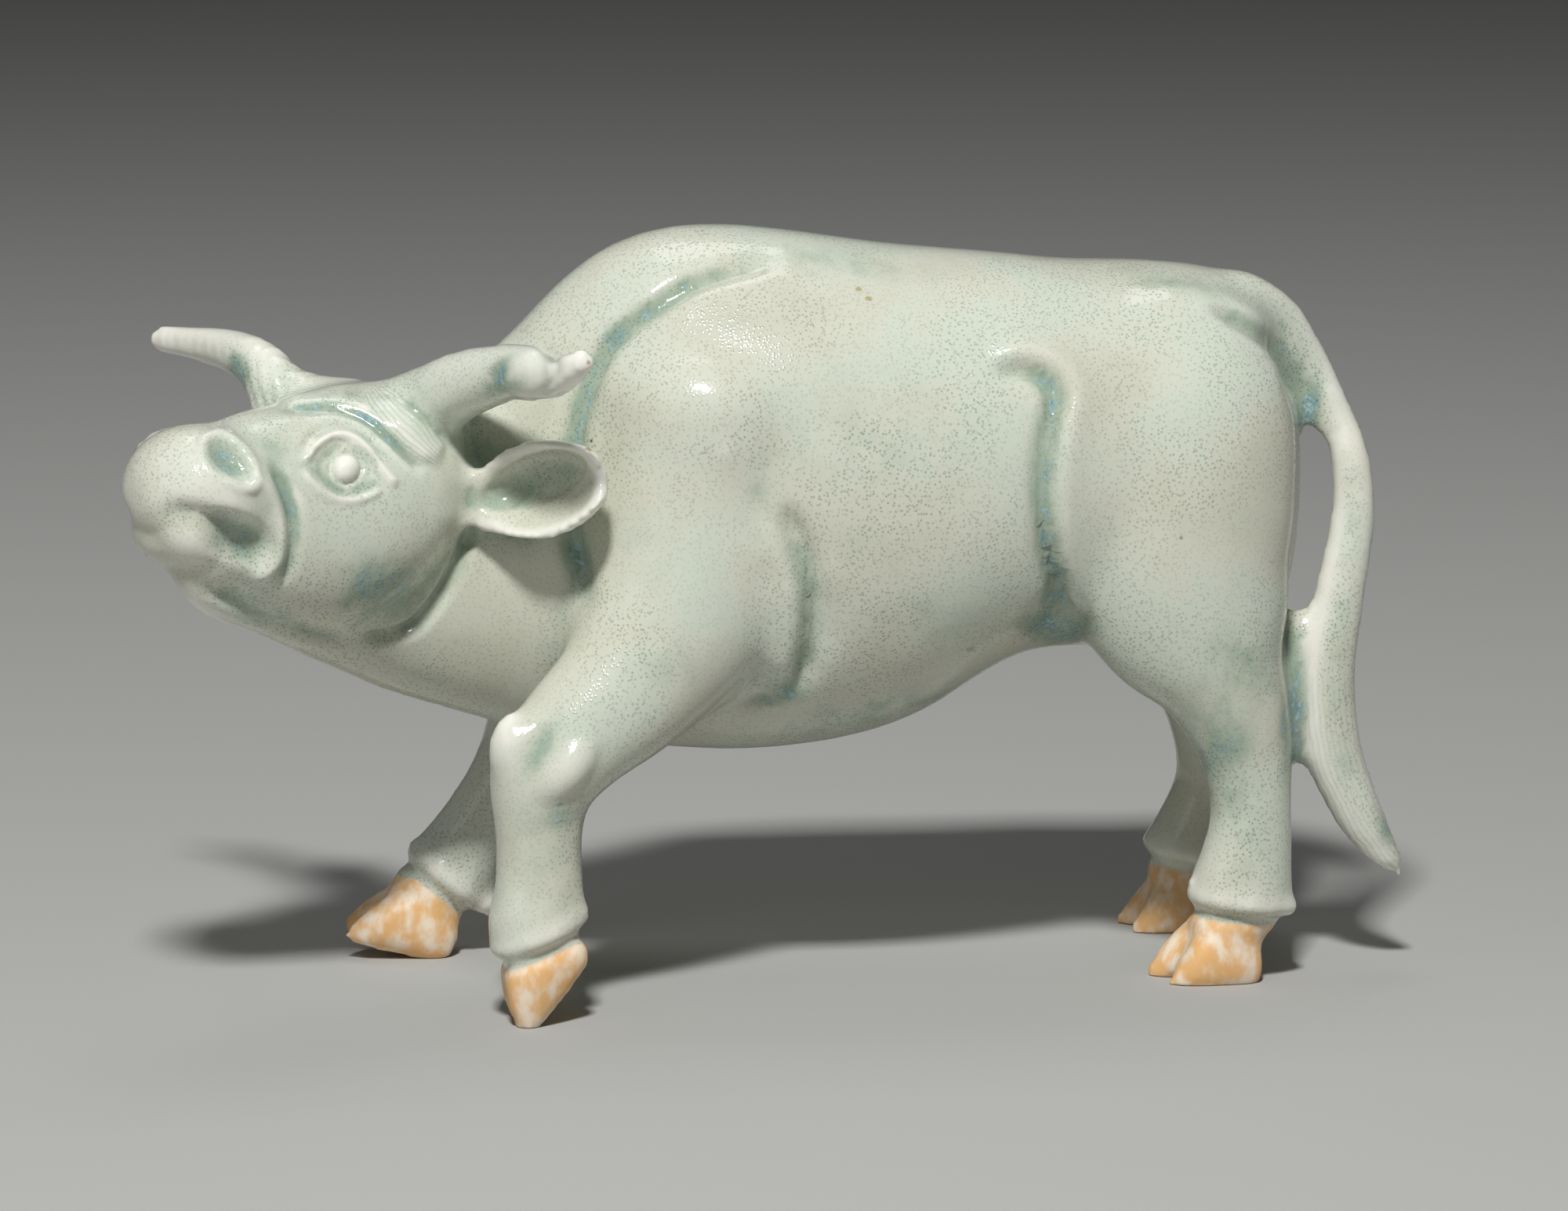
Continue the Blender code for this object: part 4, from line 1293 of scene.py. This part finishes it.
TIMES = {"operation": "MULTIPLY"}
PLUS = {"operation": "ADD"}
LESS = {"operation": "SUBTRACT"}
EASED = {"interpolation_type": "SMOOTHSTEP"}
COLOURS = {"data_type": "RGBA"}
Socket = bpy.types.NodeSocket


@dataclass(frozen=True)
class Celadon:
    """Celadon glaze over porcelain, fired glossy, with hooves left bare under an iron wash.

    The glaze is nearly white where it runs thin over an edge, grey-green on the body, and
    blue-green with a milky bloom where it gathers. Bubbles just under its face stipple it.
    """

    body: str = "CDD4C5"
    cream: str = "D6D3C3"
    green: str = "A5B3A0"
    deep_green: str = "869B8B"
    blue: str = "759A9C"
    bloom: str = "A9C3C6"
    # Also the colour of the painted reflection down one edge of the tail.
    white: str = "F0EEE4"
    bubble: str = "7B8C7B"
    porcelain: str = "F4E8D6"
    iron: str = "E8B676"
    bubble_gap: float = 0.42
    bead_gap: float = 1.3
    gloss: float = 0.13
    biscuit_roughness: float = 0.5
    refraction: float = 1.5
    glow: float = 0.15
    glow_colour: tuple[float, float, float] = (1.0, 0.9, 0.7)
    glow_depth: float = 0.0012
    bump_strength: float = 0.8
    bump_height: float = 0.00006

    def make(self, flaws: list[Flaw]) -> bpy.types.Material:
        """Build the material.

        Args:
            flaws: Small flaws of the glaze.

        Returns:
            The material.
        """
        finish = bpy.data.materials.new("celadon_glaze_over_porcelain")
        finish.use_nodes = True
        tree = finish.node_tree
        shader = tree.nodes["Principled BSDF"]
        coords = add_node(tree, "TexCoord", output="Object")
        names = ("thick", "thin", "pool", "hair", "comb", "bare")
        marks = {
            name: add_node(tree, "Attribute", {"attribute_name": name}, output="Fac") for name in names
        }
        cloud, grit = (
            add_node(tree, "TexNoise", None, {"Vector": coords, "Scale": scale, "Detail": detail}, "Fac")
            for scale, detail in ((330.0, 4.0), (1250.0, 3.0))
        )
        strand = self.strands(tree, marks, cloud)
        deep = self.depth(tree, marks, cloud, grit)
        colour = self.tone(tree, marks, coords, cloud, grit, deep)
        bubbles, beads = self.bubbles(tree, marks, coords, deep)
        shown = add_node(tree, "MapRange", EASED, {0: marks["thick"], 1: 0.0, 2: 0.5, 3: 0.6, 4: 0.9})
        share = add_node(tree, "Math", TIMES, {0: bubbles, 1: shown})
        for part, shade in ((strand, self.deep_green), (share, self.bubble)):
            colour = add_node(tree, "Mix", COLOURS, {0: part, 6: colour, 7: linear(shade)}, 2)
        colour = self.flaws(tree, coords, grit, colour, flaws)
        bare = add_node(tree, "MapRange", EASED, {0: marks["bare"], 1: 0.2, 2: 0.8})
        colour = add_node(tree, "Mix", COLOURS, {0: bare, 6: colour, 7: self.hoof(tree, coords)}, 2)
        rough = add_node(tree, "MapRange", None, {0: bare, 3: self.gloss, 4: self.biscuit_roughness})
        height = self.relief(tree, bare, cloud, strand, bubbles, beads)
        bump = {"Strength": self.bump_strength, "Distance": self.bump_height, "Height": height}
        normal = add_node(tree, "Bump", None, bump)
        for name, socket in (("Base Color", colour), ("Roughness", rough), ("Normal", normal)):
            tree.links.new(socket, shader.inputs[name])
        shader.inputs["IOR"].default_value = self.refraction
        shader.inputs["Subsurface Weight"].default_value = self.glow
        shader.inputs["Subsurface Radius"].default_value = self.glow_colour
        shader.inputs["Subsurface Scale"].default_value = self.glow_depth
        return finish

    def relief(
        self, tree: bpy.types.NodeTree, bare: Socket, cloud: Socket, strand: Socket, bubbles: Socket,
        beads: Socket,
    ) -> Socket:
        """Raise bubbles and beads, ripple the glaze and press in the strands of hair."""
        low = add_node(tree, "Math", TIMES, {0: bubbles, 1: 0.45})
        height = add_node(tree, "Math", PLUS, {0: low, 1: beads})
        glazed = add_node(tree, "Math", LESS, {0: 1.0, 1: bare})
        height = add_node(tree, "Math", TIMES, {0: height, 1: glazed})
        for kind, part, size in ((PLUS, cloud, 0.2), (LESS, strand, 3.0)):
            part = add_node(tree, "Math", TIMES, {0: part, 1: size})
            height = add_node(tree, "Math", kind, {0: height, 1: part})
        return height

    def strands(self, tree: bpy.types.NodeTree, marks: dict[str, Socket], cloud: Socket) -> Socket:
        """Draw the combed furrows between strands of hair, which the glaze fills."""
        sway = add_node(tree, "Math", TIMES, {0: cloud, 1: 1.4})
        count = add_node(tree, "Math", PLUS, {0: marks["comb"], 1: sway})
        turn = add_node(tree, "Math", TIMES, {0: count, 1: 2 * math.pi})
        wave = add_node(tree, "Math", {"operation": "SINE"}, {0: turn})
        furrow = add_node(tree, "MapRange", EASED, {0: wave, 1: 0.0, 2: 1.0, 3: 0.0, 4: 0.22})
        return add_node(tree, "Math", TIMES, {0: furrow, 1: marks["hair"]})

    def depth(
        self, tree: bpy.types.NodeTree, marks: dict[str, Socket], cloud: Socket, grit: Socket
    ) -> Socket:
        """Work out how deep the pooled glaze looks, broken up by its bubbles."""
        drift = add_node(tree, "MapRange", EASED, {0: cloud, 1: 0.3, 2: 0.68, 3: 0.5, 4: 1.35})
        speck = add_node(tree, "MapRange", EASED, {0: grit, 1: 0.34, 2: 0.62, 3: 0.55, 4: 1.15})
        both = add_node(tree, "Math", TIMES, {0: drift, 1: speck})
        return add_node(tree, "Math", TIMES, {0: marks["pool"], 1: both})

    def tone(
        self, tree: bpy.types.NodeTree, marks: dict[str, Socket], coords: Socket, cloud: Socket,
        grit: Socket, deep: Socket,
    ) -> Socket:
        """Colour the glaze by its thickness.

        Args:
            tree: Tree of the material.
            marks: Painted values.
            coords: Object coordinates.
            cloud: Drifts a few millimetres wide.
            grit: Grain under a millimetre wide.
            deep: Depth of the pooled glaze.

        Returns:
            The colour.
        """
        broad = add_node(tree, "TexNoise", None, {"Vector": coords, "Scale": 60.0, "Detail": 3.0}, "Fac")
        ragged = add_node(tree, "MapRange", EASED, {0: cloud, 1: 0.3, 2: 0.7, 3: 0.65, 4: 1.3})
        thick = add_node(tree, "Math", TIMES, {0: marks["thick"], 1: ragged})
        layers = (
            (broad, 0.38, 0.64, 1.0, self.cream),
            (broad, 0.45, 0.75, 0.35, self.green),
            (thick, 0.05, 0.5, 1.0, self.green),
            (thick, 0.4, 1.0, 0.55, self.deep_green),
            (deep, 0.4, 0.9, 0.85, self.blue),
        )
        colour = linear(self.body)
        for value, start, full, most, shade in layers:
            share = add_node(tree, "MapRange", EASED, {0: value, 1: start, 2: full, 3: 0.0, 4: most})
            colour = add_node(tree, "Mix", COLOURS, {0: share, 6: colour, 7: linear(shade)}, 2)
        fleck = add_node(tree, "MapRange", EASED, {0: grit, 1: 0.5, 2: 0.64})
        milk = add_node(tree, "MapRange", EASED, {0: deep, 1: 0.45, 2: 0.8, 3: 0.0, 4: 0.75})
        milk = add_node(tree, "Math", TIMES, {0: milk, 1: fleck})
        # White for glaze thinned over ridges and for the painted reflection down the tail's edge.
        for share, shade in ((milk, self.bloom), (marks["thin"], self.white)):
            colour = add_node(tree, "Mix", COLOURS, {0: share, 6: colour, 7: linear(shade)}, 2)
        return colour

    def bubbles(
        self, tree: bpy.types.NodeTree, marks: dict[str, Socket], coords: Socket, deep: Socket
    ) -> tuple[Socket, Socket]:
        """Stipple the glaze with bubbles, fine ones in patches and beads where it pooled.

        Args:
            tree: Tree of the material.
            marks: Painted values.
            coords: Object coordinates.
            deep: Depth of the pooled glaze.

        Returns:
            Fine bubbles and beads, each from 0 to 1.
        """
        cell = {"Vector": coords, "Scale": 1.0 / (self.bubble_gap * MM)}
        gap = add_node(tree, "TexVoronoi", None, cell, "Distance")
        chance = add_node(tree, "TexVoronoi", None, cell, "Color")
        drift = add_node(tree, "TexNoise", None, {"Vector": coords, "Scale": 85.0, "Detail": 2.0}, "Fac")
        dot = add_node(tree, "MapRange", EASED, {0: gap, 1: 0.1, 2: 0.5, 3: 1.0, 4: 0.0})
        limits = (
            (chance, 0.0, 0.4, 0.25, 1.0),
            (drift, 0.36, 0.62, 0.35, 1.0),
            (marks["thin"], 0.05, 0.6, 1.0, 0.15),
        )
        for values in limits:
            share = add_node(tree, "MapRange", EASED, dict(enumerate(values)))
            dot = add_node(tree, "Math", TIMES, {0: dot, 1: share})
        wide = {"Vector": coords, "Scale": 1.0 / (self.bead_gap * MM)}
        gap = add_node(tree, "TexVoronoi", None, wide, "Distance")
        bead = add_node(tree, "MapRange", EASED, {0: gap, 1: 0.14, 2: 0.3, 3: 1.0, 4: 0.0})
        where = add_node(tree, "MapRange", EASED, {0: deep, 1: 0.3, 2: 0.7})
        return dot, add_node(tree, "Math", TIMES, {0: bead, 1: where})

    def flaws(
        self, tree: bpy.types.NodeTree, coords: Socket, grit: Socket, colour: Socket, spots: list[Flaw]
    ) -> Socket:
        """Set the small brown marks that the kiln left in the glaze.

        Args:
            tree: Tree of the material.
            coords: Object coordinates.
            grit: Grain that frays their edges.
            colour: Colour of the glaze.
            spots: The marks.

        Returns:
            The colour with the marks on it.
        """
        fray = add_node(tree, "MapRange", None, {0: grit, 1: 0.3, 2: 0.7, 3: 0.6, 4: 1.6})
        for place, radius, shade in spots:
            far = radius * MM
            gap = add_node(tree, "VectorMath", {"operation": "DISTANCE"}, {0: coords, 1: place}, "Value")
            gap = add_node(tree, "Math", TIMES, {0: gap, 1: fray})
            share = add_node(tree, "MapRange", EASED, {0: gap, 1: 0.25 * far, 2: far, 3: 0.85, 4: 0.0})
            colour = add_node(tree, "Mix", COLOURS, {0: share, 6: colour, 7: linear(shade)}, 2)
        return colour

    def hoof(self, tree: bpy.types.NodeTree, coords: Socket) -> Socket:
        """Brush a thin iron wash down the white body, worn through in places."""
        down = add_node(tree, "Mapping", None, {"Vector": coords, "Scale": (1.0, 1.0, 0.7)})
        streak = add_node(tree, "TexNoise", None, {"Vector": down, "Scale": 560.0, "Detail": 5.0}, "Fac")
        wash = add_node(tree, "MapRange", EASED, {0: streak, 1: 0.36, 2: 0.7, 3: 0.95, 4: 0.12})
        shades = {6: linear(self.porcelain), 7: linear(self.iron)}
        return add_node(tree, "Mix", COLOURS, {0: wash, **shades}, 2)


@dataclass(frozen=True)
class Paper:
    """Matt studio paper, pale grey."""

    shade: str = "B2B2AF"
    roughness: float = 0.9

    def make(self) -> bpy.types.Material:
        """Build the material."""
        finish = bpy.data.materials.new("matt_studio_paper")
        finish.use_nodes = True
        shader = finish.node_tree.nodes["Principled BSDF"]
        shader.inputs["Base Color"].default_value = linear(self.shade)
        shader.inputs["Roughness"].default_value = self.roughness
        return finish


@dataclass
class Studio:
    """Pale floor, soft lights and the camera."""

    sheet: Sheet = Sheet()
    floor_size: float = 6.0
    frame_width: float = 2000.0
    sensor: float = 36.0
    surround: float = 0.05
    surround_colour: str = "E6E6E4"
    aim: tuple[float, float, float] = (0.0, 0.0, 0.045)
    lights: tuple[tuple[str, tuple[float, float, float], float, float], ...] = (
        ("key", (-0.18, -0.7, 0.94), 0.13, 13.5),
        ("side", (-1.0, -0.7, 0.4), 0.6, 0.7),
        ("top", (0.0, 0.4, 1.1), 0.5, 1.6),
    )

    def add_floor(self) -> bpy.types.Object:
        """Lay the floor.

        Returns:
            The floor.
        """
        form = bmesh.new()
        bmesh.ops.create_grid(form, x_segments=1, y_segments=1, size=self.floor_size / 2)
        bmesh.ops.translate(form, verts=form.verts, vec=(0.0, 0.0, -0.0001))
        floor = add_object("studio_floor", form)
        floor.data.materials.append(Paper().make())
        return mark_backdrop(floor)

    def add_light(self, name: str, spot: tuple[float, float, float], size: float, power: float) -> None:
        """Hang a soft square light that points at the beast.

        Args:
            name: Name of the light.
            spot: Its place in metres.
            size: Its edge in metres.
            power: Its watts.
        """
        lamp = bpy.data.lights.new(name, "AREA")
        lamp.size = size
        lamp.energy = power
        light = show(name, lamp)
        light.location = spot
        aim = Vector(self.aim) - Vector(spot)
        light.rotation_euler = aim.to_track_quat("-Z", "Y").to_euler()

    def add_camera(self) -> None:
        """Set the camera where the viewer stands."""
        lens = bpy.data.cameras.new("viewer")
        lens.sensor_width = self.sensor
        lens.lens = self.sensor * self.sheet.distance / (self.frame_width * SHEET_STEP)
        lens.clip_start = 0.01
        camera = show("viewer", lens)
        target = (Vector(self.sheet.target) + SHIFT) * MM
        back = Vector(self.sheet.back)
        camera.location = target + back * self.sheet.distance * MM
        camera.rotation_euler = (-back).to_track_quat("-Z", "Y").to_euler()
        bpy.context.scene.camera = camera

    def build(self) -> None:
        """Set up floor, lights, surround and camera."""
        self.add_floor()
        for light in self.lights:
            self.add_light(*light)
        world = bpy.data.worlds.new("surround")
        world.use_nodes = True
        backdrop = world.node_tree.nodes["Background"]
        backdrop.inputs["Color"].default_value = linear(self.surround_colour)
        backdrop.inputs["Strength"].default_value = self.surround
        bpy.context.scene.world = world
        bpy.context.scene.view_settings.view_transform = "Standard"
        self.add_camera()


def main() -> None:
    """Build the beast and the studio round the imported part."""
    logging.basicConfig(level=logging.INFO, format="%(name)s: %(message)s")
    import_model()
    beast, flaws = Buffalo().build()
    beast.data.materials.clear()
    beast.data.materials.append(Celadon().make(flaws))
    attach(beast, "root")
    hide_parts("buffalo")
    log.info("%s has %d faces", beast.name, len(beast.data.polygons))
    Studio().build()


if __name__ == "__main__":
    main()
